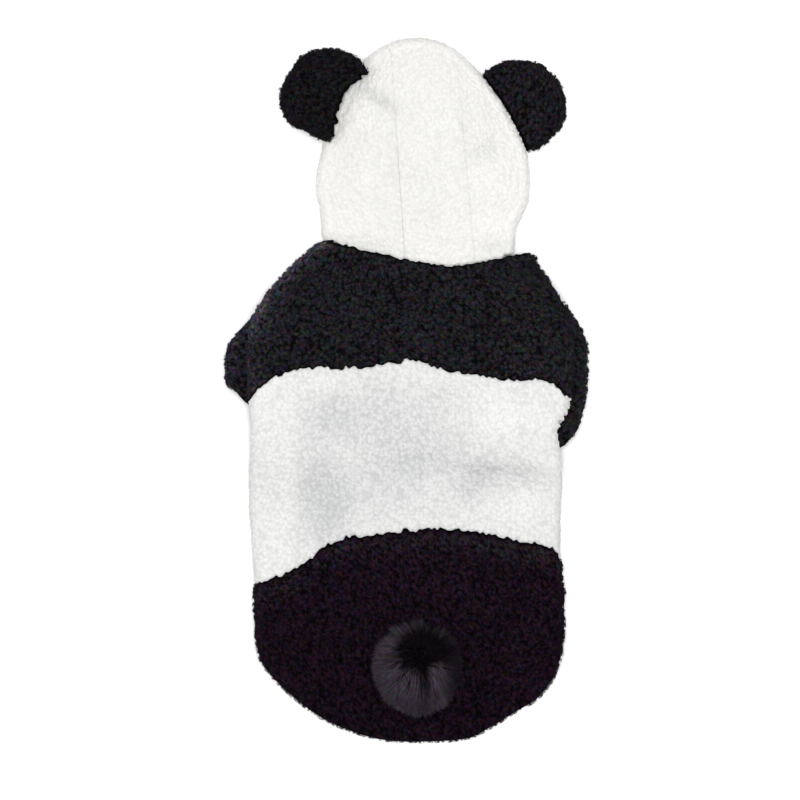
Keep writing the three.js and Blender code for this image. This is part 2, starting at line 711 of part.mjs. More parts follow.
// The pieces as a scene graph.
const fleece = (name, color) =>
  new THREE.MeshStandardMaterial({ name, color, roughness: 0.95, metalness: 0 });
const WHITE = fleece('white_fleece', 0xf1f0ea);
const BLACK = fleece('black_fleece', 0x17151a);
const FUR = fleece('dark_fur', 0x2b272e);

function piece(name, geometry, material) {
  const mesh = new THREE.Mesh(geometry, material);
  mesh.name = name;
  return mesh;
}

const coat = new THREE.Group();
coat.name = 'panda_dog_coat';

const body = new THREE.Group();
body.add(piece('yoke', cutArmholes(wrapPanel(neck, yokeSeam, 10)), BLACK));
body.add(piece('back_band', wrapPanel(yokeSeam, rearSeam, 10), WHITE));
body.add(piece('rear_back', wrapPanel(rearSeam, rearHem, 11), BLACK));
body.add(piece('chest', cutArmholes(underPanel(neckSeamUnder, () => YOKE_SEAM_UNDER, 14, 8)), BLACK));
body.add(piece('belly', underPanel(() => YOKE_SEAM_UNDER, bellyHem, 12, 8), WHITE));
coat.add(body);

for (const [side, form] of Object.entries(SLEEVES)) coat.add(piece(`sleeve_${side}`, sleeve(form), BLACK));

const hood = new THREE.Group();
hood.add(piece('hood_centre', hoodCentre(), WHITE));
hood.add(piece('hood_left', hoodSide(HOOD_SEAMS.left, 0, HOOD_SEAMS.left.crown - gapShare, -half), WHITE));
hood.add(piece('hood_right', hoodSide(HOOD_SEAMS.right, HOOD_SEAMS.right.crown + gapShare, 1, half), WHITE));
for (const [side, form] of Object.entries(EARS)) hood.add(piece(`ear_${side}`, ear(form), BLACK));
coat.add(hood);

const tail = piece('tail_pompom', pompom(), FUR);
const clothUnderTail = underBack(POMPOM.x, POMPOM.y) + FLEECE;
tail.position.set(POMPOM.x, POMPOM.y, clothUnderTail + SEAM_GAP + POMPOM.core);
coat.add(tail);

export default coat;
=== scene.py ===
"""A panda-coloured dog coat of curly fleece, laid flat with its back up.

The surfaces repeat the solids' own sections in millimetres, at the scale of the pile, and are raised into
nubs. Loose curls and the pompom's hair are joined meshes, drawn from seeded random numbers.
"""

import bpy
import numpy as np
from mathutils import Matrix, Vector


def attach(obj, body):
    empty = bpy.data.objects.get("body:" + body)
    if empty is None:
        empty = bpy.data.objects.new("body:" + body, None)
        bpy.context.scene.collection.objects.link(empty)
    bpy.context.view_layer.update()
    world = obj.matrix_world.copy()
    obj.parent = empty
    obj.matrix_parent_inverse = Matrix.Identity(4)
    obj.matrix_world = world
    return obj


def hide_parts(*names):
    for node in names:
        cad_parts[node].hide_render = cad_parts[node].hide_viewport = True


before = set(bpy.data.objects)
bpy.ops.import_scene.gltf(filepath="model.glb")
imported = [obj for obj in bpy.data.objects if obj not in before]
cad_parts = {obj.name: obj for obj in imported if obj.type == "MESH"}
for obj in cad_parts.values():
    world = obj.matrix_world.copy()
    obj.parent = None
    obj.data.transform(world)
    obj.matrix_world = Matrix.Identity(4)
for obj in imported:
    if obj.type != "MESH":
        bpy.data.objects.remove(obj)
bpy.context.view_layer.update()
MM = 0.001
# A distance past which no edge matters, in millimetres
FAR = 99.0

# Sizes of the fleece and of its layers, in millimetres
FLEECE = 5.0
SEAM_GAP = 0.02
SIDE_GAP = 0.5
LAYER_GAP = 0.5
FOLD_RADIUS = 6.3
EDGE_LOFT = 2 * FOLD_RADIUS - 2 * FLEECE - LAYER_GAP
LEAST_LOFT = 0.9
LOFT_GAIN = 1.3
SLEEVE_BED = 11.2
BED_SLOPE = 22.0
BED_SLOPE_FRONT = 18.0
BACK_SLOPE = 54.0
BACK_SLOPE_FRONT = 32.0
SLEEVE_HEIGHT = 10.7
SLEEVE_PUFF = 2.6
HEM_DROP = 28.0
HOOD_RISE = 10.0
HOOD_SLOPE = 38.0
NECK_FRONT = (14.0, 72.0)
FLOOR_GAP = 0.05

# Grid pitch of the white surfaces that show from above, of the black ones, of those that don't show,
# and of the sleeves and ears
FINER = 0.69
FINE = 0.92
PLAIN = 1.5
SLEEVE_PITCH = 1.1
EAR_PITCH = 0.95
# The inner grid has every fourth point of the outer one, on an ear every second
INNER_STEP = 4
EAR_STEP = 2
# Widths from which the numbers of columns and rows are worked out
FLANGE = 27.0
BACK_WIDTH = 188.0
HALF_UNDER = 70.0
SLEEVE_FLAT = 46.0
SLEEVE_FOLD = 17.0
FACE_RIM = 30.0

# y, left, right
SIDE_EDGES = [
    (102, -40, 70), (93.5, -51.2, 74.5), (85.5, -62.4, 78.3), (79, -69.6, 81), (73, -75.6, 84.6),
    (62, -84.9, 92), (50, -93, 99), (42, -96.6, 102), (35, -98.2, 103), (12, -99, 103.2),
    (-6, -98.2, 101.5), (-14, -98, 99.5), (-22, -97.6, 94.8), (-29, -97.6, 93.8), (-37, -97.8, 95.5),
    (-50, -98.4, 96.8), (-75, -98.6, 96.2), (-100, -97, 96), (-120, -95.4, 96.8),
    (-160, -94.3, 97.5), (-230, -94.3, 97.5),
]
SIDE_SEAMS = [
    (94, -24, 47), (76, -42, 58), (50, -62, 69), (15, -70, 74),
    (-30, -71, 72), (-90, -70, 69), (-170, -66, 68),
]
# x, y
NECK_SEAM = [
    (-51.3, 93.4), (-43.4, 92.2), (-35.6, 89.6), (-20, 85.8), (-10, 83.6), (0, 81.3),
    (11.3, 79.3), (23, 77.8), (31, 77.6), (38.6, 78.8), (48.4, 80.5), (58, 82.6),
    (68, 84.8), (79.2, 85.8),
]
YOKE_SEAM = [
    (-98.8, -8.5), (-95.2, -1.8), (-89.4, 3.1), (-82.5, 7.4), (-71, 11.8), (-61, 13.5),
    (-28, 13.8), (-12, 16), (2.5, 18.6), (9.5, 16.6), (27, 11.8), (46.5, 9.2), (60, 6.8),
    (76, 5.9), (87.5, 5.2), (95.2, 0.4), (102, -6),
]
REAR_SEAM = [
    (-95.4, -121.2), (-82.5, -117.6), (-71, -112.4), (-63, -107.6), (-53, -99.6),
    (-45.4, -94.6), (-37.6, -92.4), (-12, -90), (-2.4, -87.7), (5.4, -88.6), (15, -86.6),
    (36.6, -87.6), (56, -90.6), (75.7, -95.8), (87.4, -97.8), (93.4, -100.6), (96.6, -107),
]
REAR_HEM = [
    (-94.3, -156), (-93, -165), (-89.4, -173.4), (-80.6, -184.2), (-70.8, -193),
    (-55.2, -204.5), (-41.5, -211.5), (-22, -218), (-4.4, -220.4), (19, -220.2),
    (38.6, -218.2), (52.3, -211.5), (68, -201.8), (81.6, -193.4), (91.3, -181.2),
    (96.3, -168), (97.5, -156),
]
NECK_SEAM_UNDER = [(-51.3, 93.4), NECK_FRONT, (79.2, 85.8)]
YOKE_SEAM_UNDER = -12.0
REAR_SEAM_UNDER = -114.0
BELLY_HEM = {"centre": 1, "half_width": 95, "middle": -122, "scoop": 38, "power": 2.2}

# x, y, half length, half width, direction in degrees, depth
CREASES = [
    (-52, -52, 52, 11, 76, 2.2), (40, -50, 46, 9, -3, 2.3), (-18, -30, 36, 13, -34, 1.8),
    (-10, 52, 44, 12, 12, 1.6), (-58, 60, 30, 10, 52, 1.6), (62, 44, 36, 12, -48, 1.7),
    (-48, -118, 30, 10, 30, 1.7), (58, -122, 34, 11, -24, 1.6),
]

# The edge and the cuff are lines. The bed is where a sleeve lifts the layers above it: the x of its inner
# side, the y of its front and rear, and the slope behind it.
SLEEVES = {
    "left": {
        "side": -1, "inner": -62, "mouth": 49,
        "outer": [(50, -92.4), (37.3, -103.4), (28.5, -110.6), (15, -113.2), (3, -112.4), (-30, -108)],
        "cuff": [(-112.6, 3), (-107.9, -1), (-98.6, -9.4), (-84, -14.5), (-62, -17)],
        "bed": (52, 54, -27, 50),
    },
    "right": {
        "side": 1, "inner": 60, "mouth": 54,
        "outer": [
            (55, 97.6), (49, 101.8), (40, 107.3), (28.5, 111.6), (15, 112.4), (1, 111.8),
            (-16, 109), (-27, 106), (-50, 103.6),
        ],
        "cuff": [(60, -42), (82, -40), (98.2, -35), (103, -30.5), (108, -22)],
        "bed": (50, 59, -44, 22),
    },
}

HOOD_OUTLINE = [
    (-52.8, 93.6), (-53.4, 103), (-54.6, 114), (-56.9, 125), (-55.8, 139), (-53, 151),
    (-48.1, 169), (-38.8, 190), (-26.3, 206.8), (-12.5, 216.4), (-2, 219.8), (8, 220.4),
    (17, 219), (25.6, 215.6), (34.4, 209.6), (42, 201.8), (49.4, 193.4), (59.4, 180),
    (68.1, 164.4), (74.4, 150), (76.6, 134), (76.2, 120), (73, 110.5), (69, 103),
    (67.7, 95), (67.5, 84.9),
]
HOOD_SEAMS = {"left": (-1.3, 0.419), "right": (42.5, 0.578)}
CROWN_MARGIN = 3.0
FACE = {"x": 12, "y": 142, "half_width": 36, "half_length": 52, "throat": 0.04}

# The middle of the base and its direction, the disc's radius and how far its middle lies from the base, and
# flat spots of its rim: direction in degrees, half width and depth
# One value of each ear is a painted highlight over the whole ear, lighter on the right ear
EARS = {
    "left": {
        "at": (-34.8, 178.5), "outward": 154, "radius": 29.4, "chord": 17.2, "shift": -1.3,
        "bow": 5.9, "pull": 0, "on_top": True, "nap": 0.0, "flats": [(85, 34, 2.0), (178, 30, 3.6)],
    },
    "right": {
        "at": (61.8, 172.7), "outward": 33.2, "radius": 29, "chord": 10.6, "shift": 0.4,
        "bow": 0, "pull": 2.4, "on_top": False, "nap": 0.3, "flats": [(10, 30, 1.0)],
    },
}
EAR = {"thick": 11.5, "rim": 3.2, "base": 7, "bed": 12.8, "bed_start": 2, "bed_end": 36, "gap": 0.45}

POMPOM = {"x": 6.9, "y": -174, "ahead": 2, "radius": 30, "centre_up": 25, "core": 15.5, "stretch": 1.06}


# Curves and steps

def lerp(a, b, t):
    return a + (b - a) * t


def ease(t):
    t = np.clip(t, 0, 1)
    return t * t * (3 - 2 * t)


def unit(vectors):
    return vectors / np.linalg.norm(vectors, axis=-1, keepdims=True)


def closed(grid):
    """A ring's grid, with its first column again after its last."""
    return np.concatenate([grid, grid[:, :1]], 1)


def smooth(rows, value=1):
    """A smooth curve of one of a table's columns over its first one, level past both ends."""
    table = np.array(sorted(rows, key=lambda row: row[0]), float)
    at, val = table[:, 0], table[:, value]
    before = np.r_[0, np.arange(len(at) - 1)]
    after = np.r_[np.arange(1, len(at)), len(at) - 1]
    slope = (val[after] - val[before]) / (at[after] - at[before])

    def curve(x):
        x = np.clip(x, at[0], at[-1])
        i = np.clip(np.searchsorted(at, x, side="left") - 1, 0, len(at) - 2)
        width = at[i + 1] - at[i]
        t = (x - at[i]) / width
        return (
            (2 * t**3 - 3 * t**2 + 1) * val[i]
            + (t**3 - 2 * t**2 + t) * width * slope[i]
            + (3 * t**2 - 2 * t**3) * val[i + 1]
            + (t**3 - t**2) * width * slope[i + 1]
        )

    return curve


SEARCH = (-235.0, 112.0)
HALVINGS = 40


def crossing(x_at, seam, shape):
    """Where y = seam(x(y)) on each column, by halving the stretch in which it lies."""
    low, high = (np.full(shape, end) for end in SEARCH)
    for _ in range(HALVINGS):
        y = (low + high) / 2
        below = y < seam(x_at(y))
        low, high = np.where(below, y, low), np.where(below, high, y)
    return (low + high) / 2


# Noise, from hashed cells

def hashed(cells, seed):
    """Three random numbers from 0 to 1 for each cell of whole numbers."""
    a = cells.astype(np.int64)
    h = (a[..., 0] * 73856093) ^ (a[..., 1] * 19349663) ^ (a[..., 2] * 83492791) ^ (seed * 2654435761)
    out = []
    for k in range(3):
        h = (h ^ (h >> 15)) * (2246822519 + 2 * k) & 0xFFFFFFFF
        h = (h ^ (h >> 13)) * 3266489917 & 0xFFFFFFFF
        h = h ^ (h >> 16)
        out.append((h & 0xFFFFFF) / 0x1000000)
    return np.stack(out, -1)


def value_noise(points, scale, seed):
    """Three smooth noises from -1 to 1."""
    p = points / scale
    base = np.floor(p)
    f = p - base
    f = f * f * (3 - 2 * f)
    total = 0
    for corner in np.ndindex(2, 2, 2):
        c = np.array(corner)
        weight = np.prod(np.where(c, f, 1 - f), axis=-1)
        total = total + weight[..., None] * hashed(base + c, seed)
    return total * 2 - 1


def cellular(points, cell, seed):
    """Distances to the nearest two nub centres, in cells, and the nearest one's random number."""
    p = points / cell
    base = np.floor(p)
    first = np.full(points.shape[:-1], 9.0)
    second = first.copy()
    mark = np.zeros_like(first)
    for offset in np.ndindex(3, 3, 3):
        c = base + np.array(offset) - 1
        jitter = hashed(c, seed)
        distance = np.linalg.norm(c + 0.5 + 0.85 * (jitter - 0.5) - p, axis=-1)
        nearer = distance < first
        second = np.where(nearer, first, np.minimum(second, distance))
        mark = np.where(nearer, jitter[..., 0], mark)
        first = np.where(nearer, distance, first)
    return first, second, mark


NUB_CELL = 2.5
NUB_HEIGHT = 1.0


def nubs(points):
    """Height of the curly pile over its mean level, and how deep in a crevice each point is."""
    warped = points + 0.9 * value_noise(points, 2.6, 5) + 0.3 * value_noise(points, 1.1, 6)
    first, second, mark = cellular(warped, NUB_CELL, 11)
    dome = 1 - np.clip(first / 0.8, 0, 1) ** 2
    groove = ease((second - first) / 0.28)
    small, _, _ = cellular(warped, NUB_CELL * 0.45, 23)
    curl = 1 - np.clip(small / 0.8, 0, 1) ** 2
    high = dome * (0.55 + 0.45 * groove) * (0.75 + 0.5 * mark) + 0.3 * (curl - 0.5)
    wide = value_noise(points, 9.0, 31)[..., 0]
    return NUB_HEIGHT * (high - 0.52) + 0.18 * wide, np.clip(high, 0, 1)


# Body tube

left_edge, right_edge = smooth(SIDE_EDGES, 1), smooth(SIDE_EDGES, 2)
left_seam, right_seam = smooth(SIDE_SEAMS, 1), smooth(SIDE_SEAMS, 2)


def fold_axis(side, y):
    return (left_edge(y) if side < 0 else right_edge(y)) - side * FOLD_RADIUS


def side_seam(side, y):
    return left_seam(y) if side < 0 else right_seam(y)


def lift(x, y, across=BED_SLOPE, ahead=BED_SLOPE_FRONT):
    """How high the sleeves folded below a layer lift it. The back spans them in a softer slope."""
    most = 0
    for form in SLEEVES.values():
        inner, front, rear, behind = form["bed"]
        bed = ease((form["side"] * x - inner) / across + 1)
        along = ease((front - y) / ahead + 1) * ease((y - rear) / behind + 1)
        most = np.maximum(most, bed * along)
    return SLEEVE_BED * most


def belly_hem(x):
    across = np.abs((x - BELLY_HEM["centre"]) / BELLY_HEM["half_width"])
    return BELLY_HEM["middle"] - BELLY_HEM["scoop"] * across ** BELLY_HEM["power"]


def soft_marks(marks, x, y, power=2):
    """The sum of soft ellipses: x, y, half length, half width, direction in degrees, amount."""
    total = 0
    for cx, cy, long, wide, turn, amount in marks:
        c, s = np.cos(np.radians(turn)), np.sin(np.radians(turn))
        along = ((x - cx) * c + (y - cy) * s) / long
        across = ((y - cy) * c - (x - cx) * s) / wide
        total = total + amount * np.exp(-(np.abs(along) ** power) - across**2)
    return total


def creases(x, y):
    return soft_marks(CREASES, x, y, power=4)


# Rises and troughs of the back, finer than the solids', in the form of soft_marks
BACK_FORMS = [
    (-53, -70, 30, 8, 84, -1.5), (-52, -18, 15, 9, 70, -0.9), (2, -49, 15, 8, 12, -1.0),
    (58, -50, 30, 6, -3, -1.2), (40, -60, 12, 7, 62, -1.2), (58, -20, 36, 17, -4, 1.2),
    (70, -74, 26, 11, -4, 1.0), (-6, -70, 28, 9, 4, 0.8), (12, 6, 34, 6, -4, 0.7),
    (-22, -30, 40, 18, -20, -0.7), (-84, -62, 60, 9, 88, 0.9),
    (-72, 44, 26, 9, 46, 0.8), (20, 48, 50, 12, -6, -0.6), (70, 58, 24, 8, -50, 0.7),
    (-20, 30, 44, 9, 8, 0.5), (34, -112, 44, 12, -10, 0.6), (-50, -150, 34, 12, 40, -0.6),
    (54, -160, 30, 12, -40, -0.5), (0, -205, 40, 8, 0, 0.4),
]
# Painted light, in the form of soft_marks: painted shade in the back band's troughs and sags, and painted
# highlight where an amount is negative
BAND_PAINTED_LIGHT = [
    (-49, -73, 25, 14, 86, 0.66), (-46, -18, 14, 11, 40, 0.34), (-62, -58, 14, 5, 84, 0.2),
    (-4, -30, 46, 36, -14, 0.3), (2, -49, 15, 10, 10, 0.3), (-38, -42, 12, 8, 0, -0.14),
    (57, -50, 27, 5, -3, 0.22), (42, -60, 12, 8, 60, 0.38), (93, -55, 12, 9, 0, -0.34),
    (62, -16, 36, 17, -4, -0.3), (70, -76, 26, 10, -4, -0.2), (-8, -70, 30, 12, 4, 0.08),
    (14, 9, 40, 8, -4, -0.2), (-46, 6, 22, 9, 0, -0.22),
]
# On the hood: painted shade in its dimples, along its seams and at its lower corners; the negative mark
# beside the left ear is a painted highlight over that ear's shadow
HOOD_PAINTED_LIGHT = [
    (-19, 182.5, 13, 4.4, -34, 0.6), (-27, 188, 8, 6, -50, 0.1), (50, 150, 11, 7, 30, 0.34),
    (-31, 168, 26, 9, 58, -0.2), (50, 172, 15, 8, -56, 0.12), (-32, 91, 30, 5, -13, 0.34),
    (56, 89, 10, 6, 10, 0.4), (-8, 150, 30, 3.5, 92, 0.1), (35, 155, 34, 3.5, 92, 0.1),
]


# Painted shade over the back band, with a painted highlight along its left strip
def band_nap(x, y):
    strip = 1 - ease((x + 74) / 9)
    return lerp(0.46 + soft_marks(BAND_PAINTED_LIGHT, x, y), 0.33, strip)


# Painted shade over the hood, a little darker over its middle and its left side, with its marks added
def hood_nap(x, y):
    middle = 1 - ease((np.hypot(x - 2, y - 148) - 14) / 52)
    return 0.08 * (1 - ease((x - 10) / 56)) + 0.12 * middle + soft_marks(HOOD_PAINTED_LIGHT, x, y)


def yoke_nap(x, y):
    """A painted highlight along the left shoulder's edge, stronger towards the neck."""
    inward = x - left_edge(y)
    high = ease((y - 24) / 26)
    rim = 0.42 * (1 - ease(inward / 18)) + 0.58 * (1 - ease((inward - 1) / 5))
    return rim * lerp(0.25, 1, high)


# A painted highlight along the left sleeve's outer edge
def sleeve_nap(x, y):
    return ease((-x - 98 + 0.35 * (y - 20)) / 12) * ease((y + 2) / 14) * 0.2


def rear_nap(x, y):
    """A painted highlight: a grey strip along the seam and down the left fold."""
    below = REAR[0](x) - y
    strip = ease((below - 1.5) / 2) * (1 - ease((below - 5) / 15)) * (0.7 + 0.3 * ease((x - 10) / 60))
    return strip + 0.35 * (1 - ease((x - left_edge(y)) / 9)) * ease((y + 195) / 20)


def back_form(x, y):
    step = ease((x + 72) / 8) * (1 - ease((x + 62) / 30)) * ease((-y - 6) / 14) * ease((y + 118) / 14)
    return soft_marks(BACK_FORMS, x, y) - 1.3 * step


def under_back(x, y):
    inward = np.minimum(x - fold_axis(-1, y), fold_axis(1, y) - x)
    swell = LOFT_GAIN * ease(inward / 45) - creases(x, y) * ease(inward / 14)
    loft = np.maximum(LEAST_LOFT, EDGE_LOFT + swell)
    held = ease((y - belly_hem(x)) / HEM_DROP + 1)
    spanned = lerp(lift(x, y), lift(x, y, BACK_SLOPE, BACK_SLOPE_FRONT), ease(inward / 12))
    return spanned + held * (FLEECE + LAYER_GAP + loft)


def line_noise(x, scale, seed):
    return value_noise(np.stack([x, 0 * x, 0 * x], -1), scale, seed)


def wavy(seam, amount=0.95):
    """A seam whose line wanders by a tuft, the same for the pieces on both sides of it."""
    def line(x):
        tufts = 0.7 * line_noise(x, 4.2, 77)[..., 0] + 1.2 * line_noise(x, 1.9, 78)[..., 1]
        return seam(x) + amount * tufts
    return line


neck_seam = smooth(NECK_SEAM)


def neck_seam_under(x):
    return np.interp(x, *zip(*NECK_SEAM_UNDER))


NECK = (wavy(neck_seam, 0.5), neck_seam_under)
YOKE = (wavy(smooth(YOKE_SEAM)), lambda x: np.full_like(x, YOKE_SEAM_UNDER))
REAR = (wavy(smooth(REAR_SEAM)), lambda x: np.full_like(x, REAR_SEAM_UNDER))
HEM = (smooth(REAR_HEM), belly_hem)


# Grids. Each has its outer points, the wall's inner points and each point's distance to the piece's edges.

# Distances of the rows nearest to an edge, where the wall is rounded
EDGE_ROWS = np.array([0, 0.3, 0.8, 1.6])


def spacing(length, pitch):
    """Places from 0 to 1, closer at both ends, in a number that the inner grid's step divides."""
    last = EDGE_ROWS[-1]
    inside = max(4, int(round((length - 2 * last) / pitch)))
    inside += -(inside + 6) % INNER_STEP
    middle = np.linspace(last, length - last, inside + 1)
    return np.r_[EDGE_ROWS[:-1], middle, length - EDGE_ROWS[-2::-1]] / length


def rounded(distance, depth, width):
    """How far a surface has rolled down at a distance from its edge."""
    t = 1 - np.clip(distance / width, 0, 1)
    return depth * (1 - np.sqrt(np.clip(1 - t * t, 0, 1)))


# Depth and width of the roll at an edge, and its depth on the wall's inner side
EDGES = {"seam": (1.5, 2.4, 0.0), "soft": (0.12, 2.4, 0.0), "hem": (2.45, 3.0, 2.45)}


def rolls(distances, kinds):
    outer = inner = 0
    for distance, kind in zip(distances, kinds):
        if kind is None:
            continue
        depth, width, under = EDGES[kind]
        outer = np.maximum(outer, rounded(distance, depth, width))
        inner = np.maximum(inner, rounded(distance, under, width))
    return outer, inner


def columns_of(*stretches):
    """The part, side and place from 0 to 1 of each column. A fold leaves out both of its ends."""
    rows = []
    for part, side, first, last, steps in stretches:
        places = np.linspace(first, last, steps + 1)
        rows += [(part, side, t) for t in (places[1:-1] if "fold" in part else places)]
    return tuple(np.array(values) for values in zip(*rows))


def wrap_columns(pitch):
    flange, fold, back = (int(round(width / pitch)) for width in (FLANGE, np.pi * FOLD_RADIUS, BACK_WIDTH))
    back += -(2 * flange + 2 * fold + back) % INNER_STEP
    return columns_of(
        ("flange", -1, 1, 0, flange), ("fold", -1, 1, 0, fold), ("back", 0, 0, 1, back),
        ("fold", 1, 0, 1, fold), ("flange", 1, 0, 1, flange),
    )


def body_points(columns, y, depth):
    part, side, t = columns
    is_back, is_fold = part == "back", part == "fold"
    y = np.broadcast_to(y, np.broadcast_shapes(np.shape(y), t.shape))
    depth = np.broadcast_to(depth, y.shape)
    axis = np.where(side < 0, fold_axis(-1, y), fold_axis(1, y))
    seam = np.where(side < 0, side_seam(-1, y), side_seam(1, y))
    x_back = lerp(fold_axis(-1, y), fold_axis(1, y), t)
    reach = FOLD_RADIUS - depth
    x_fold = axis + side * reach * np.sin(t * np.pi)
    x_flange = lerp(axis, seam, t)
    x = np.where(is_back, x_back, np.where(is_fold, x_fold, x_flange))
    inward = np.minimum(x - fold_axis(-1, y), fold_axis(1, y) - x)
    form = back_form(x, y) * ease(inward / 10) * np.where(depth < FLEECE * 0.5, 1, 0)
    z_back = under_back(x, y) + FLEECE + form - depth
    half_top = (under_back(axis, y) + FLEECE - lift(axis, y)) / 2
    z_fold = lift(axis, y) + half_top + (half_top - depth) * np.cos(t * np.pi)
    z_flange = lift(x, y) + depth
    return np.stack([x, y, np.where(is_back, z_back, np.where(is_fold, z_fold, z_flange))], -1)


def seam_at(columns, above, below):
    """A seam's y on each column: one line above, another below, and a smooth change over the fold."""
    part, _, t = columns

    def x_at(y):
        return body_points(columns, y, 0)[..., 0]

    top, bottom = crossing(x_at, above, t.shape), crossing(x_at, below, t.shape)
    share = np.where(part == "back", 0, np.where(part == "flange", 1, ease(2 * t - 1)))
    return lerp(top, bottom, share)


def wrap_panel(front, rear, length, kinds, pitch=FINE):
    """A panel of the back, which goes round both sides to the seams underneath."""
    columns = wrap_columns(pitch)
    start = seam_at(columns, *front) - SEAM_GAP / 2
    end = seam_at(columns, *rear) + SEAM_GAP / 2
    y = lerp(start, end, spacing(length, pitch)[:, None])
    part, _, t = columns
    to_side = np.where(part == "flange", (1 - t) * FLANGE, FAR) + 0 * y
    distances = (start - y, y - end, to_side)
    outer_roll, inner_roll = rolls(distances, (*kinds, "seam"))
    return body_points(columns, y, outer_roll), body_points(columns, y, FLEECE - inner_roll), distances


def under_panel(front, rear, length, kinds):
    """A panel of the underside, between the two side seams."""
    half = int(round(HALF_UNDER / PLAIN))
    half += half % 2
    t = np.linspace(0, 1, 2 * half + 1)

    def x_at(y):
        first = lerp(side_seam(-1, y) + SIDE_GAP, NECK_FRONT[0], 2 * t)
        last = lerp(NECK_FRONT[0], side_seam(1, y) - SIDE_GAP, 2 * t - 1)
        return np.where(t < 0.5, first, last)

    start = crossing(x_at, front, t.shape) - SEAM_GAP / 2
    end = crossing(x_at, rear, t.shape) + SEAM_GAP / 2
    y = lerp(start, end, spacing(length, PLAIN)[:, None])
    x = x_at(y)
    distances = (start - y, y - end, np.minimum(x - x[:, :1], x[:, -1:] - x))
    outer_roll, inner_roll = rolls(distances, (*kinds, "seam"))
    low = lift(x, y)
    outer, inner = (np.stack([x, y, high], -1) for high in (low + outer_roll, low + FLEECE - inner_roll))
    return outer, inner, distances


def sleeve(form):
    """A sleeve pressed flat, as a ring of columns."""
    side, inner = form["side"], form["inner"]
    outer_edge, cuff_line = smooth(form["outer"]), smooth(form["cuff"])
    flat, fold = int(round(SLEEVE_FLAT / SLEEVE_PITCH)), int(round(SLEEVE_FOLD / SLEEVE_PITCH))
    flat += -(2 * flat + 2 * fold) % INNER_STEP // 2
    part, _, t = columns_of(
        ("top", side, 0, 1, flat), ("outer fold", side, 0, 1, fold),
        ("bottom", side, 1, 0, flat), ("inner fold", side, 1, 0, fold),
    )

    def height_at(x, y):
        return SLEEVE_HEIGHT + SLEEVE_PUFF * ease((side * (x - fold_axis(side, y)) - 1) / 13)

    def points(y, depth):
        y = np.broadcast_to(y, np.broadcast_shapes(np.shape(y), t.shape))
        high = height_at(outer_edge(y) - side * FOLD_RADIUS * 0.7, y)
        outer_axis = outer_edge(y) - side * high / 2
        inner_axis = inner + side * SLEEVE_HEIGHT / 2
        x_flat = lerp(inner_axis, outer_axis, t)
        height = np.minimum(height_at(x_flat, y), high)
        z_flat = np.where(part == "top", height - depth, depth)
        is_outer, is_inner = part == "outer fold", part == "inner fold"
        fold_high = np.where(is_outer, high, SLEEVE_HEIGHT)
        reach = fold_high / 2 - depth
        away = np.where(is_outer, side, -side)
        x_fold = np.where(is_outer, outer_axis, inner_axis) + away * reach * np.sin(t * np.pi)
        z_fold = fold_high / 2 + reach * np.cos(t * np.pi)
        folded = is_outer | is_inner
        return np.stack([np.where(folded, x_fold, x_flat), y, np.where(folded, z_fold, z_flat)], -1)

    end = crossing(lambda y: points(y, 0)[..., 0], cuff_line, t.shape)
    y = lerp(form["mouth"], end, spacing(abs(form["mouth"] - np.mean(end)), SLEEVE_PITCH)[:, None])
    distances = (form["mouth"] - y, y - end)
    outer_roll, inner_roll = rolls(distances, ("seam", "hem"))
    return points(y, outer_roll), points(y, FLEECE - inner_roll), distances


# Hood

def _outline():
    knots = np.array(HOOD_OUTLINE, float)
    n = len(knots)
    at = np.linspace(0, n - 1, 6001)
    i = np.minimum(at.astype(int), n - 1)
    t = (at - i)[:, None]
    p0, p1 = knots[np.maximum(i - 1, 0)], knots[i]
    p2, p3 = knots[np.minimum(i + 1, n - 1)], knots[np.minimum(i + 2, n - 1)]
    v0, v1 = (p2 - p0) / 2, (p3 - p1) / 2
    line = (2 * p1 - 2 * p2 + v0 + v1) * t**3 + (3 * p2 - 3 * p1 - 2 * v0 - v1) * t**2 + v0 * t + p1
    run = np.r_[0, np.cumsum(np.linalg.norm(np.diff(line, axis=0), axis=1))]
    return line, run


OUTLINE, OUTLINE_RUN = _outline()
OUTLINE_LENGTH = OUTLINE_RUN[-1]
OUTLINE_SAMPLES = OUTLINE[::12]


def on_outline(u, inward):
    u = np.clip(u, 0, 1)

    def place(share):
        run = np.clip(share, 0, 1) * OUTLINE_LENGTH
        return np.stack([np.interp(run, OUTLINE_RUN, OUTLINE[:, k]) for k in (0, 1)], -1)

    step = 0.0015
    tangent = place(u + step) - place(u - step)
    tangent /= np.linalg.norm(tangent, axis=-1, keepdims=True)
    return place(u) + inward * np.stack([tangent[..., 1], -tangent[..., 0]], -1)


AT_ONCE = 4000


def from_outline(x, y):
    """The distance of each point to the hood's outline, for some thousand points at a time."""
    flat = np.stack([x, y], -1).reshape(-1, 2)
    out = np.concatenate([
        np.linalg.norm(part[:, None] - OUTLINE_SAMPLES, axis=-1).min(1)
        for part in np.array_split(flat, max(1, len(flat) // AT_ONCE))
    ])
    return out.reshape(x.shape)


def inside_outline(x, y):
    a, b = OUTLINE_SAMPLES, np.roll(OUTLINE_SAMPLES, -1, axis=0)
    flat_x, flat_y = x.ravel()[:, None], y.ravel()[:, None]
    with np.errstate(divide="ignore", invalid="ignore"):
        meet = a[:, 0] + (b[:, 0] - a[:, 0]) * (flat_y - a[:, 1]) / (b[:, 1] - a[:, 1])
    crosses = ((a[:, 1] > flat_y) != (b[:, 1] > flat_y)) & (flat_x < meet)
    return (crosses.sum(1) % 2 == 1).reshape(x.shape)


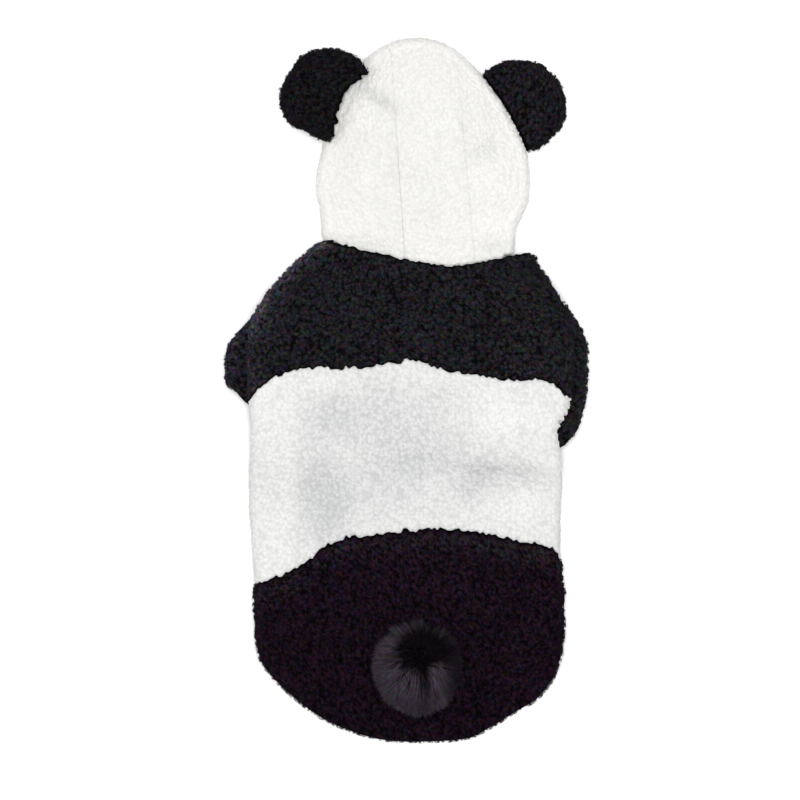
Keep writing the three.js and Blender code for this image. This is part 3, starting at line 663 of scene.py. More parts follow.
# Rises and dimples of the hood, in the form of soft_marks
HOOD_FORMS = [
    (-17, 182.5, 13, 5, -34, -2.2), (50, 151, 12, 8, 30, -1.8), (-32, 90, 30, 6, -13, -1.3),
    (56, 89, 11, 7, 10, -1.5), (-32, 128, 26, 12, 74, 0.6), (18, 120, 30, 15, 20, 0.7),
    (60, 124, 18, 9, 80, 0.5), (14, 196, 20, 12, 0, 0.5), (-34, 158, 18, 7, 30, -0.7),
    (36, 180, 16, 7, -60, -0.6), (6, 160, 12, 10, 10, -0.5),
]


def hood_top(x, y):
    inside = np.clip((from_outline(x, y) - FOLD_RADIUS) / HOOD_SLOPE, 0, 1)
    rise = HOOD_RISE * np.sin(inside * np.pi / 2) * ease((y - 72) / 62)
    return 2 * FOLD_RADIUS + rise + soft_marks(HOOD_FORMS, x, y) * ease(inside * 4)


def hood_surface(x, y):
    distance = from_outline(x, y)
    edge = FOLD_RADIUS + np.sqrt(np.clip(FOLD_RADIUS**2 - (FOLD_RADIUS - distance) ** 2, 0, None))
    height = np.where(distance >= FOLD_RADIUS, hood_top(x, y), edge)
    return np.where(inside_outline(x, y), height, 0)


CROWN_MIDDLE = (HOOD_SEAMS["left"][1] + HOOD_SEAMS["right"][1]) / 2


def face_edge(u):
    side = np.where(u < CROWN_MIDDLE, -1.0, 1.0)
    share = np.where(side < 0, u, 1 - u)
    throat_top = FACE["y"] - FACE["half_length"]
    whole = np.where(side < 0, CROWN_MIDDLE, 1 - CROWN_MIDDLE)
    turn = np.clip((share - FACE["throat"]) / (whole - FACE["throat"]), 0, 1) * np.pi
    shift = (NECK_FRONT[0] - FACE["x"]) * (1 - ease(turn))
    x_face = FACE["x"] + shift + side * FACE["half_width"] * np.sin(turn)
    y_face = FACE["y"] - FACE["half_length"] * np.cos(turn)
    y_throat = lerp(NECK_FRONT[1] + SEAM_GAP, throat_top, share / FACE["throat"])
    in_throat = share < FACE["throat"]
    x = np.where(in_throat, NECK_FRONT[0], x_face) + side * SEAM_GAP / 2
    return np.stack([x, np.where(in_throat, y_throat, y_face)], -1)


def seam_line(name, t, sideways):
    neck_x, crown_u = HOOD_SEAMS[name]
    crown = on_outline(np.array(crown_u), FOLD_RADIUS)
    neck_end = np.array([neck_x, float(neck_seam(np.array(neck_x))) + SEAM_GAP / 2])
    length = np.linalg.norm(crown - neck_end)
    p = lerp(neck_end, crown, np.asarray(t)[..., None] * (1 - CROWN_MARGIN / length))
    return p + np.array([sideways, 0])


def hood_grid(u, start, flat_length, start_kind, column_kinds, neck_column=None):
    """Columns along u, rows from the start line over the fold to the face opening."""
    flat_end = on_outline(u, FOLD_RADIUS)
    flat_steps = int(round(flat_length / FINER))
    fold_steps = int(round(np.pi * FOLD_RADIUS / FINER))
    rim_steps = int(round(FACE_RIM / PLAIN))
    flat_steps += -(flat_steps + fold_steps + rim_steps) % INNER_STEP
    shape = (flat_steps + fold_steps + rim_steps + 1, len(u))
    t_flat = np.linspace(0, 1, flat_steps + 1)[:, None, None]
    flat = lerp(start, flat_end, t_flat)
    if neck_column is not None:
        edge = flat[:, neck_column]
        shift = NECK[0](edge[:, 0]) + SEAM_GAP / 2 - edge[:, 1]
        shift = shift * ease((1 - t_flat[:, 0, 0]) / 0.12)
        near = ease(1 - np.abs(u - u[neck_column]) / 0.05)
        flat[..., 1] += shift[:, None] * near
    under = lerp(flat_end, face_edge(u), np.linspace(0, 1, rim_steps + 1)[:, None, None])
    turn = (np.linspace(0, 1, fold_steps + 1)[1:-1] * np.pi)[:, None]
    top = hood_top(flat[..., 0], flat[..., 1])
    top[-1] = 2 * FOLD_RADIUS

    def points(depth):
        on_flat, on_fold, on_rim = np.split(depth, [flat_steps + 1, flat_steps + fold_steps])
        reach = FOLD_RADIUS - on_fold
        edge = on_outline(u, 0.0)
        fold_xy = edge + (on_outline(u, 1.0) - edge) * (FOLD_RADIUS - reach * np.sin(turn))[..., None]
        return np.concatenate([
            np.dstack([flat, top - on_flat]),
            np.dstack([fold_xy, FOLD_RADIUS + reach * np.cos(turn)]),
            np.dstack([under, on_rim]),
        ])

    whole = points(np.zeros(shape))
    from_start, from_rim = np.full(shape, FAR), np.full(shape, FAR)
    from_start[: flat_steps + 1] = np.linalg.norm(flat - flat[:1], axis=-1)
    from_rim[-(rim_steps + 1):] = np.linalg.norm(under - under[-1:], axis=-1)
    from_first = np.linalg.norm(whole - whole[:, :1], axis=-1)
    from_last = np.linalg.norm(whole - whole[:, -1:], axis=-1)
    distances = (from_start, from_rim, from_first, from_last)
    outer_roll, inner_roll = rolls(distances, (start_kind, "hem", *column_kinds))
    beside_yoke = {None: from_start, 0: from_first}.get(neck_column, from_last)
    return points(outer_roll), points(FLEECE - inner_roll), (beside_yoke,)


def columns_between(first, last, pitch):
    count = int(round((last - first) * OUTLINE_LENGTH / pitch))
    return np.linspace(first, last, count + -count % INNER_STEP + 1)


GAP_SHARE = 1.3 * SEAM_GAP / 2 / OUTLINE_LENGTH


def hood_side(name):
    crown = HOOD_SEAMS[name][1]
    first, last = (0, crown - GAP_SHARE) if name == "left" else (crown + GAP_SHARE, 1)
    u = columns_between(first, last, FINER)
    share = u / last if name == "left" else (1 - u) / (1 - first)
    sideways = -SEAM_GAP / 2 if name == "left" else SEAM_GAP / 2
    start = seam_line(name, share, sideways)
    kinds = ("seam", "soft") if name == "left" else ("soft", "seam")
    neck_column = 0 if name == "left" else len(u) - 1
    return hood_grid(u, start, 50, "soft", kinds, neck_column)


def hood_centre():
    first, last = HOOD_SEAMS["left"][1] + GAP_SHARE, HOOD_SEAMS["right"][1] - GAP_SHARE
    u = columns_between(first, last, FINER * 0.95)
    t = (u - first) / (last - first)
    x = lerp(HOOD_SEAMS["left"][0] + SEAM_GAP / 2, HOOD_SEAMS["right"][0] - SEAM_GAP / 2, t)
    start = np.stack([x, NECK[0](x) + SEAM_GAP / 2], -1)
    return hood_grid(u, start, 138, "seam", ("soft", "soft"))


def ear(form):
    """A stuffed half disc: its top and its bottom, sewn together at the round edge."""
    angle_out = np.radians(form["outward"])
    out = np.array([np.cos(angle_out), np.sin(angle_out)])
    along = np.array([out[1], -out[0]])
    base = np.array(form["at"], float)
    radius, chord = form["radius"], form["chord"]
    half_base = np.sqrt(radius**2 - chord**2)
    relative = OUTLINE_SAMPLES - base
    reach = np.stack([relative @ along, relative @ out], -1)
    reach = reach[reach[:, 1] > -20]
    reach = reach[np.argsort(reach[:, 0])]
    dip = np.arcsin(chord / radius)
    count = int(round(radius * (np.pi + 1.72 * dip) / EAR_PITCH))
    count += -count % INNER_STEP
    rows = int(round(2 * radius * 0.8 / EAR_PITCH))
    rows += -rows % INNER_STEP
    t = np.linspace(0, 1, count + 1)
    share = np.sin(np.linspace(0, 1, rows + 1) * np.pi / 2)[:, None]
    angle = lerp(-dip * 0.86, np.pi + dip * 0.86, t)
    reached = radius - 0.9
    for middle, half, depth in form["flats"]:
        reached = reached - depth * (1 - ease(np.abs(np.degrees(angle) - middle) / half))
    edge_a = form["shift"] + reached * np.cos(angle)
    edge_o = chord + reached * np.sin(angle)
    base_a = edge_a * lerp(half_base / radius, 1, np.abs(np.cos(angle)) * 0.2) * 0.98
    base_a = base_a - form["pull"] * np.clip(-base_a / half_base, 0, 1) ** 3
    held_a = np.clip(base_a, -half_base - form["pull"], half_base)
    if form["on_top"]:
        near_corner = np.abs(held_a / half_base)
        point = 2.2 * np.clip(held_a / half_base, 0, 1) ** 2.5
        ragged = 1.3 * line_noise(base_a, 2.1, 91)[..., 0] * (1 - near_corner**8)
        start_o = form["bow"] * (1 - near_corner**2) - point + ragged
    else:
        start_o = np.interp(held_a, reach[:, 0], reach[:, 1]) + EAR["gap"]
    a = lerp(base_a, edge_a, share)
    o = lerp(start_o, np.maximum(edge_o, start_o + 1.5), share)
    xy = base + a[..., None] * along + o[..., None] * out
    bottom = np.zeros_like(o)
    if form["on_top"]:
        dropped = EAR["bed"] * (1 - ease((o - EAR["bed_start"]) / (EAR["bed_end"] - EAR["bed_start"])))
        bottom = EAR["gap"] + np.maximum(dropped, hood_surface(xy[..., 0], xy[..., 1]))
    first, last = (np.sin(np.clip(place * 4 + 0.15, 0, 1) * np.pi / 2) for place in (t, 1 - t))
    swell = np.sqrt(np.clip(1 - share**3, 0, 1)) * first * last
    from_base = lerp(EAR["base"] / EAR["thick"], 1, ease(share * 2.4))
    thick = EAR["rim"] + (EAR["thick"] - EAR["rim"]) * swell * from_base
    rim = np.sqrt(np.clip(1 - np.clip((share - 0.9) / 0.1, 0, 1) ** 2, 0.04, 1))
    middle = bottom + thick / 2
    half_thick = thick / 2 * rim
    top = np.concatenate([xy, (middle + half_thick)[..., None]], -1)
    low = np.concatenate([xy, (middle - half_thick)[..., None]], -1)
    return top, low, -out


# Meshes

def normals_of(grid, ring=False):
    if ring:
        wide = np.concatenate([grid[:, -1:], grid, grid[:, :1]], 1)
        du = wide[:, 2:] - wide[:, :-2]
    else:
        du = np.gradient(grid, axis=1)
    dv = np.gradient(grid, axis=0)
    n = np.cross(dv, du)
    return n / np.maximum(np.linalg.norm(n, axis=-1, keepdims=True), 1e-9)


def outward(grid, inner, ring=False):
    """Unit normals that point away from the wall's inner side."""
    n = normals_of(grid, ring)
    return n if np.mean(np.sum(n * (grid - inner), -1)) > 0 else -n


def quads(index):
    a, b, c, d = index[:-1, :-1], index[1:, :-1], index[1:, 1:], index[:-1, 1:]
    return np.concatenate([np.stack([a, b, c], -1).reshape(-1, 3), np.stack([a, c, d], -1).reshape(-1, 3)])


def strip(fine, coarse, step):
    """Triangles between a fine edge and a coarse one that has every step-th of its points."""
    faces = []
    for k in range(len(coarse) - 1):
        f = fine[k * step: (k + 1) * step + 1]
        half = step // 2
        faces += [(f[i], f[i + 1], coarse[k]) for i in range(half)]
        faces.append((f[half], coarse[k + 1], coarse[k]))
        faces += [(f[i], f[i + 1], coarse[k + 1]) for i in range(half, step)]
    return np.array(faces)


def numbered(grid, first=0):
    return first + np.arange(grid.shape[0] * grid.shape[1]).reshape(grid.shape[:2])


def shell(outer, inner, ring=False, step=INNER_STEP):
    """A closed wall: a fine outer grid, a coarser inner one and the edges between them."""
    small = inner[::step, ::step]
    fine = numbered(outer)
    coarse = numbered(small, fine.size)
    if ring:
        fine, coarse = closed(fine), closed(coarse)
    faces = [
        quads(fine), quads(coarse)[:, ::-1],
        strip(fine[0], coarse[0], step)[:, ::-1], strip(fine[-1], coarse[-1], step),
    ]
    if not ring:
        faces += [strip(fine[:, 0], coarse[:, 0], step), strip(fine[:, -1], coarse[:, -1], step)[:, ::-1]]
    return np.concatenate([outer.reshape(-1, 3), small.reshape(-1, 3)]), np.concatenate(faces)


def make(name, points, faces, material, **layers):
    """A Blender mesh from points in millimetres and triangles."""
    a, b, c = (points[faces[:, k]] for k in range(3))
    if np.sum(a * np.cross(b, c)) < 0:
        faces = faces[:, ::-1]
    mesh = bpy.data.meshes.new(name)
    mesh.vertices.add(len(points))
    mesh.vertices.foreach_set("co", (points * MM).astype(np.float32).ravel())
    mesh.loops.add(faces.size)
    mesh.loops.foreach_set("vertex_index", faces.astype(np.int32).ravel())
    mesh.polygons.add(len(faces))
    mesh.polygons.foreach_set("loop_start", np.arange(0, faces.size, 3, dtype=np.int32))
    mesh.polygons.foreach_set("use_smooth", np.ones(len(faces), bool))
    mesh.update(calc_edges=True)
    for key, values in layers.items():
        layer = mesh.attributes.new(key, "FLOAT", "POINT")
        layer.data.foreach_set("value", values.astype(np.float32))
    mesh.materials.append(material)
    piece = bpy.data.objects.new(name, mesh)
    bpy.context.scene.collection.objects.link(piece)
    return piece


def settle(points):
    points[..., 2] = np.maximum(points[..., 2], FLOOR_GAP)
    return points


def pressed(points):
    """The pile is flattened where the coat lies on the surface."""
    return 0.3 + 0.7 * ease(points[..., 2] / 3.0)


def bristling(normal):
    """1 where the cloth turns over at a fold or a rim, so that its pile stands out past the edge."""
    return ease((0.62 - np.abs(normal[..., 2])) / 0.3)


def raised(grid, normal, tall=1.0, edge=None):
    """The surface with its nubs, which are lower beside a seam so that both sides meet there."""
    height, light = nubs(grid)
    height = height * tall
    if edge is not None:
        height = height * (0.25 + 0.75 * ease(edge / 1.3))
    height = height * np.where(height > 0, pressed(grid), 1)
    return settle(grid + normal * height[..., None]), light


def triangles(centres, radius, a, b, start=0.0):
    """Three points round each centre, in the plane of two unit vectors."""
    turns = start + np.arange(3) * 2 * np.pi / 3
    return np.stack([centres + radius * (np.cos(turn) * a + np.sin(turn) * b) for turn in turns], 1)


def repeated(faces, count, points):
    """The faces of many like forms, with the number of points that each form has."""
    return (np.arange(count)[:, None, None] * points + np.array(faces)).reshape(-1, 3)


rng = np.random.default_rng(20)
CURL_SIZE = 0.85
CURL_ANGLES = np.radians([-25, 50, 130, 205])
# Limits of a curl's width, height and thickness, as shares of its size, and of its twist
CURL_LIMITS = [(0.65, 1.25), (0.55, 1.15), (0.26, 0.42), (-0.6, 0.6)]


def curls(grid, normal, density, ring=False):
    """Small hoops of yarn that stand out of the pile. The density is their number in each square mm."""
    density = density + 0 * grid[..., 0]
    if ring:
        grid, normal, density = closed(grid), closed(normal), closed(density)
    corner = grid[:-1, :-1]
    area = np.linalg.norm(np.cross(grid[1:, :-1] - corner, grid[:-1, 1:] - corner), axis=-1)
    area = area * density[:-1, :-1]
    count = int(area.sum())
    i, j = np.unravel_index(rng.choice(area.size, size=count, p=area.ravel() / area.sum()), area.shape)
    down, over = rng.random(count)[:, None], rng.random(count)[:, None]

    def at(field):
        near = lerp(field[i, j], field[i, j + 1], over)
        return lerp(near, lerp(field[i + 1, j], field[i + 1, j + 1], over), down)

    root, up = at(grid), unit(at(normal))
    side = rng.normal(size=(count, 3))
    side = unit(side - np.sum(side * up, -1, keepdims=True) * up)
    other = np.cross(up, side)
    tall = unit(up + rng.uniform(-0.7, 0.7, count)[:, None] * other)
    wide, high, thick, twist = (rng.uniform(*limits, count)[:, None] for limits in CURL_LIMITS)
    wide = CURL_SIZE * wide
    high = CURL_SIZE * high * pressed(root)[:, None] * (1 + 0.7 * bristling(up))[:, None]
    rings = []
    for angle in CURL_ANGLES:
        c, s = np.cos(angle), np.sin(angle)
        centre = root + side * wide * c + tall * high * s + other * twist * wide * c * s * 2
        if angle in (CURL_ANGLES[0], CURL_ANGLES[-1]):
            rings.append(centre[:, None])
        else:
            across = np.cross(unit(tall * high * c - side * wide * s), other)
            rings.append(triangles(centre, CURL_SIZE * thick, other, across, 0.5))
    faces = []
    for k, n in ((0, 1), (1, 2), (2, 0)):
        faces += [(0, 1 + n, 1 + k), (1 + k, 1 + n, 4 + n), (1 + k, 4 + n, 4 + k), (4 + k, 4 + n, 7)]
    # Painted shade at each curl's two ends, where it goes into the pile
    tip = np.array([0.3] + [0.9] * 6 + [0.3]) * 0.75
    tone = np.clip(tip + rng.uniform(-0.25, 0.5, count)[:, None], 0, 1)
    return settle(np.concatenate(rings, 1)).reshape(-1, 3), repeated(faces, count, 8), tone.ravel()


# Materials

def shaded(name, values):
    """A material, its node tree and its shader, with these values on the shader's own sockets."""
    material = bpy.data.materials.new(name)
    material.use_nodes = True
    shader = material.node_tree.nodes["Principled BSDF"]
    for key, value in values.items():
        shader.inputs[key].default_value = value
    return material, material.node_tree, shader


def node(tree, kind, inputs, output, **settings):
    """A new node's output. Each input is a value or another node's output."""
    made = tree.nodes.new("ShaderNode" + kind)
    for key, value in settings.items():
        setattr(made, key, value)
    for key, value in inputs.items():
        if isinstance(value, bpy.types.NodeSocket):
            tree.links.new(value, made.inputs[key])
        else:
            made.inputs[key].default_value = value
    return made.outputs[output]


def ramp(tree, start, dark, stop, light):
    """A colour that goes from dark to light with the surface's shade."""
    made = tree.nodes.new("ShaderNodeValToRGB")
    for element, position, color in zip(made.color_ramp.elements, (start, stop), (dark, light)):
        element.position = position
        element.color = (*color, 1)
    tree.links.new(node(tree, "Attribute", {}, "Fac", attribute_name="shade"), made.inputs["Fac"])
    return made.outputs["Color"]


def speckled(tree, tone, noise, hue):
    """A tone whose hue changes from grain to grain."""
    values = {0: noise, 1: (hue,) * 3, 2: (1 - hue / 2,) * 3}
    hues = node(tree, "VectorMath", values, "Vector", operation="MULTIPLY_ADD")
    return node(tree, "VectorMath", {0: tone, 1: hues}, "Vector", operation="MULTIPLY")


def fleece_material(name, dark, light, nap, spec, sheen, tint, hue, patch, start):
    """Curly pile: painted shade in its crevices and lighter on its curls, with a second layer of painted
    shade or highlight.
    """
    material, tree, shader = shaded(name, {
        "Roughness": 0.9, "Specular IOR Level": spec,
        "Sheen Weight": sheen, "Sheen Roughness": 0.5, "Sheen Tint": (*tint, 1),
    })
    where = node(tree, "TexCoord", {}, "Object")

    def noise(scale, detail, output):
        return node(tree, "TexNoise", {"Scale": scale, "Detail": detail, "Vector": where}, output)

    limits = {"From Min": 0.3, "From Max": 0.7, "To Min": 1 - patch, "To Max": 1 + patch * 0.5}
    spread = node(tree, "MapRange", {"Value": noise(30, 3, "Fac"), **limits}, "Result")
    tone = ramp(tree, start, dark, 0.8, light)
    toned = node(tree, "VectorMath", {0: tone, "Scale": spread}, "Vector", operation="SCALE")
    dyed = speckled(tree, toned, noise(340, 2, "Color"), hue)
    painted_share = node(tree, "Attribute", {}, "Fac", attribute_name="nap")
    colors = {"Factor": painted_share, "A": dyed, "B": (*nap, 1)}
    color = node(tree, "Mix", colors, "Result", data_type="RGBA", blend_type="MULTIPLY")
    tree.links.new(color, shader.inputs["Base Color"])
    fibres = {"Strength": 0.35, "Distance": 0.0005, "Height": noise(1500, 3, "Fac")}
    tree.links.new(node(tree, "Bump", fibres, "Normal"), shader.inputs["Normal"])
    return material


# The colour towards which painted shade brings white fleece; on black fleece this colour is above 1 and
# paints highlights
PAINTED_SHADE_TINT = (0.7, 0.708, 0.722)
WHITE = fleece_material(
    "white_fleece", (0.655, 0.652, 0.643), (0.768, 0.764, 0.752), PAINTED_SHADE_TINT, 0.12, 0.08,
    (1, 1, 1), 0.02, 0.02, 0.05,
)
CREAM = fleece_material(
    "cream_fleece", (0.684, 0.678, 0.653), (0.76, 0.753, 0.73), PAINTED_SHADE_TINT, 0.12, 0.08,
    (1, 1, 0.97), 0.02, 0.015, 0.05,
)
BLUE_BLACK = fleece_material(
    "yoke_fleece", (0.0006, 0.0005, 0.0008), (0.018, 0.0165, 0.021), (4.2, 4.2, 4.3), 0.06, 0.02,
    (0.8, 0.85, 1), 3.2, 0.12, 0.2,
)
EAR_BLACK = fleece_material(
    "ear_fleece", (0.0004, 0.0003, 0.0005), (0.0108, 0.0092, 0.012), (2.6, 2.6, 2.6), 0.05, 0.015,
    (0.8, 0.85, 1), 3.2, 0.12, 0.2,
)
RED_BLACK = fleece_material(
    "rear_fleece", (0.0008, 0.0003, 0.0008), (0.0132, 0.0057, 0.0129), (1.6, 2.6, 1.7), 0.04, 0.012,
    (1, 0.75, 0.95), 3.2, 0.12, 0.2,
)


def fur_material():
    material, tree, shader = shaded("dark_fur", {
        "Roughness": 0.6, "Specular IOR Level": 0.05, "Sheen Weight": 0.01, "Sheen Roughness": 0.4,
    })
    where = node(tree, "TexCoord", {}, "Object")
    grain = node(tree, "TexNoise", {"Scale": 380, "Vector": where}, "Color")
    tone = ramp(tree, 0, (0.0015, 0.0006, 0.0018), 1, (0.085, 0.066, 0.09))
    tree.links.new(speckled(tree, tone, grain, 2.2), shader.inputs["Base Color"])
    return material


FUR = fur_material()


# Pieces

# Curls in a square millimetre, and how many times more stand where the cloth turns over
CURLS_TOP = 0.27
CURLS_UNDER = 0.06
CURLS_TURNED = 2.2
# The upright part of a normal below which a surface faces down
FACING_DOWN = -0.3
INNER_SHADE = 0.45

# Painted shade and highlight for each piece, by its solid's name
PAINTED_LIGHTS = {
    "back_band": band_nap, "hood_centre": hood_nap, "hood_left": hood_nap, "hood_right": hood_nap,
    "yoke": yoke_nap, "sleeve_left": sleeve_nap, "rear_back": rear_nap,
}


def nap_of(node, points):
    """The painted shade or highlight, on the side that shows."""
    if node not in PAINTED_LIGHTS:
        return np.zeros(len(points))
    return np.clip(PAINTED_LIGHTS[node](points[:, 0], points[:, 1]), 0, 1) * ease((points[:, 2] - 2) / 5)


def nearest(grid, distances):
    """Each point's distance to the nearest of some edges."""
    return np.min(np.broadcast_arrays(0 * grid[..., 0] + FAR, *distances), axis=0)


def darkened(light, clear):
    """The light of the pile, which is almost gone where it dips into a seam."""
    return light * (0.05 + 0.95 * clear)


def belong(parts):
    for part in parts:
        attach(part, "root")


def dressed(name, cad_node, material, grids, ring=False):
    """A fleece piece: its nubby wall and, on black fleece, its loose curls as a piece on it."""
    outer, inner, distances = grids
    normal = outward(inner, 2 * inner - outer) if material == CREAM else outward(outer, inner, ring)
    pale = material in (WHITE, CREAM)
    turned = bristling(normal)
    facing_down = normal[..., 2] < FACING_DOWN
    if pale:
        beside_sleeve = ease((outer[..., 0] - 90) / 6) * (1 - ease((np.abs(outer[..., 1] + 10) - 9) / 7))
        tall = 0.55 + (0.5 + 2.2 * beside_sleeve) * turned
    elif ring:
        tall = 1 + 0.8 * turned
    else:
        tall = 1.4 + 0.7 * turned - 0.4 * facing_down
    high, light = raised(outer, normal, tall, nearest(outer, distances))
    points, faces = shell(high, inner, ring)
    if not pale:
        seams = distances[:1] if cad_node == "rear_back" else distances
        clear = ease((nearest(outer, seams) - 0.5) / 1.3)
        light = darkened(light, clear)
    shade = np.r_[light.ravel(), np.full(len(points) - light.size, INNER_SHADE)]
    # Painted shade and highlight: on white fleece deeper in the crevices, on black fleece a painted
    # highlight where the cloth turns over at a fold or a rim
    nap = nap_of(cad_node, points)
    if pale:
        nap *= 1.2 - 0.4 * shade
    else:
        nap[:light.size] += 0.2 * turned.ravel()
    parts = [make(name, points, faces, material, shade=shade, nap=nap)]
    if not pale:
        density = np.where(facing_down, CURLS_UNDER, CURLS_TOP * (1 + CURLS_TURNED * turned)) * clear
        points, faces, tone = curls(high, normal, density, ring)
        nap = nap_of(cad_node, points)
        parts.append(make(name + "_curls", points, faces, material, shade=tone, nap=nap))
    belong(parts)
    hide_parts(cad_node)


# Each sleeve's width and length before it is laid, in metres, and its area in square metres, are listed
# below with the sleeves.
dressed(
    "yoke_cloth", "yoke", BLUE_BLACK, wrap_panel(NECK, YOKE, 85, ("seam", "seam")),
)
dressed(
    "band_cloth", "back_band", WHITE, wrap_panel(YOKE, REAR, 112, ("seam", "seam"), FINER),
)
dressed(
    "rear_cloth", "rear_back", RED_BLACK, wrap_panel(REAR, HEM, 100, ("seam", "hem")),
)
dressed(
    "chest_cloth", "chest", BLUE_BLACK, under_panel(neck_seam_under, YOKE[1], 92, ("seam", "seam")),
)
dressed(
    "belly_cloth", "belly", WHITE, under_panel(YOKE[1], belly_hem, 118, ("seam", "hem")),
)
dressed("hood_centre_cloth", "hood_centre", CREAM, hood_centre())
dressed("hood_left_cloth", "hood_left", CREAM, hood_side("left"))
dressed("hood_right_cloth", "hood_right", CREAM, hood_side("right"))
SLEEVE_FLATS = {"left": ((0.111, 0.066), 0.0057), "right": ((0.112, 0.096), 0.009)}
for side, (flat, area) in SLEEVE_FLATS.items():
    tube = sleeve(SLEEVES[side])
    dressed(f"sleeve_{side}_cloth", f"sleeve_{side}", BLUE_BLACK, tube, ring=True)

def dressed_ear(side, form):
    """A stuffed ear: its nubby skin, and the loose curls on both of its sides."""
    top, low, inward = ear(form)
    normal_top, normal_low = normals_of(top), normals_of(low)
    normal_top = normal_top * np.sign(np.mean(normal_top[..., 2]))
    normal_low = -normal_low * np.sign(np.mean(normal_low[..., 2]))
    from_base = np.linalg.norm(top - top[:1], axis=-1)
    normal_top[..., :2] += (1.6 * (1 - ease(from_base / 2.4)))[..., None] * inward * form["on_top"]
    normal_top = unit(normal_top)
    turned = bristling(normal_top)
    high, light = raised(top, normal_top, 1.35 + 0.7 * turned)
    clear = ease((from_base - 0.6) / 1.5)
    light = darkened(light, clear)
    under, dim = raised(low, normal_low)
    points, faces = shell(high, under, step=EAR_STEP)
    shade = np.r_[light.ravel(), dim[::EAR_STEP, ::EAR_STEP].ravel()]
    # A painted highlight over the whole ear, lighter on the right ear, and more where the cloth turns over
    # at its rim
    nap = np.full(len(points), form["nap"])
    nap[:light.size] += 0.35 * turned.ravel()
    skin = make(f"ear_{side}_cloth", points, faces, EAR_BLACK, shade=shade, nap=nap)
    points, faces, tone = curls(high, normal_top, CURLS_TOP * (1 + CURLS_TURNED * turned) * clear)
    below, more, dark = curls(under, normal_low, CURLS_UNDER * 2)
    faces = np.concatenate([faces, more + len(points)])
    points, tone = np.concatenate([points, below]), np.r_[tone, dark]
    pile = make(f"ear_{side}_curls", points, faces, EAR_BLACK, shade=tone, nap=0 * tone + form["nap"])
    belong((skin, pile))
    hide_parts(f"ear_{side}")


for side, form in EARS.items():
    dressed_ear(side, form)


# Pompom: hair on a round core, combed away from its crown and parted beside a tuft below it

HAIRS = 15500
# Size of the ball on which the hair's noises are taken
FUR_BALL = 30
# Unit directions from the pompom's middle
CROWN = (0.12, 0.55, 0.826)
TUFT = (0.4, -0.12, 0.908)
PART = (0.78, -0.12, 0.61)


def hair_painted_light(x, y):
    """Painted light on the hair: painted shade in the hollow round the crown, on the right and in the
    valley beside the tuft, and a painted highlight on the tuft.
    """
    def patch(at_x, at_y, half_width, half_height):
        return 1 - ease((np.hypot((x - at_x) / half_width, (y - at_y) / half_height) - 0.75) / 0.4)

    hollow = patch(0.1, 0.36, 0.64, 0.5)
    right = ease((x - 0.5) / 0.2) * (1 - 0.4 * ease((-y - 0.5) / 0.3)) * (1 - 0.45 * ease((y - 0.4) / 0.3))
    valley = patch(0.14, -0.4, 0.12, 0.42)
    shaded = (1 - 0.97 * hollow) * (1 - 0.86 * right) * (1 - 0.62 * valley) * (1 - 0.14 * ease(-x - 0.2))
    return np.maximum(shaded, 1.3 * patch(0.4, -0.2, 0.2, 0.32))


def room(way, shift):
    """How far the hair may reach along a direction, to the ball's surface or to the cloth."""
    core = POMPOM["core"]
    b = way[:, 2] * shift
    to_ball = b + np.sqrt(b * b + POMPOM["radius"] ** 2 - shift**2)
    to_cloth = (core - 0.4) / np.maximum(-way[:, 2], 0.02)
    return np.minimum(to_ball, np.where(way[:, 2] < -0.02, to_cloth, np.inf))


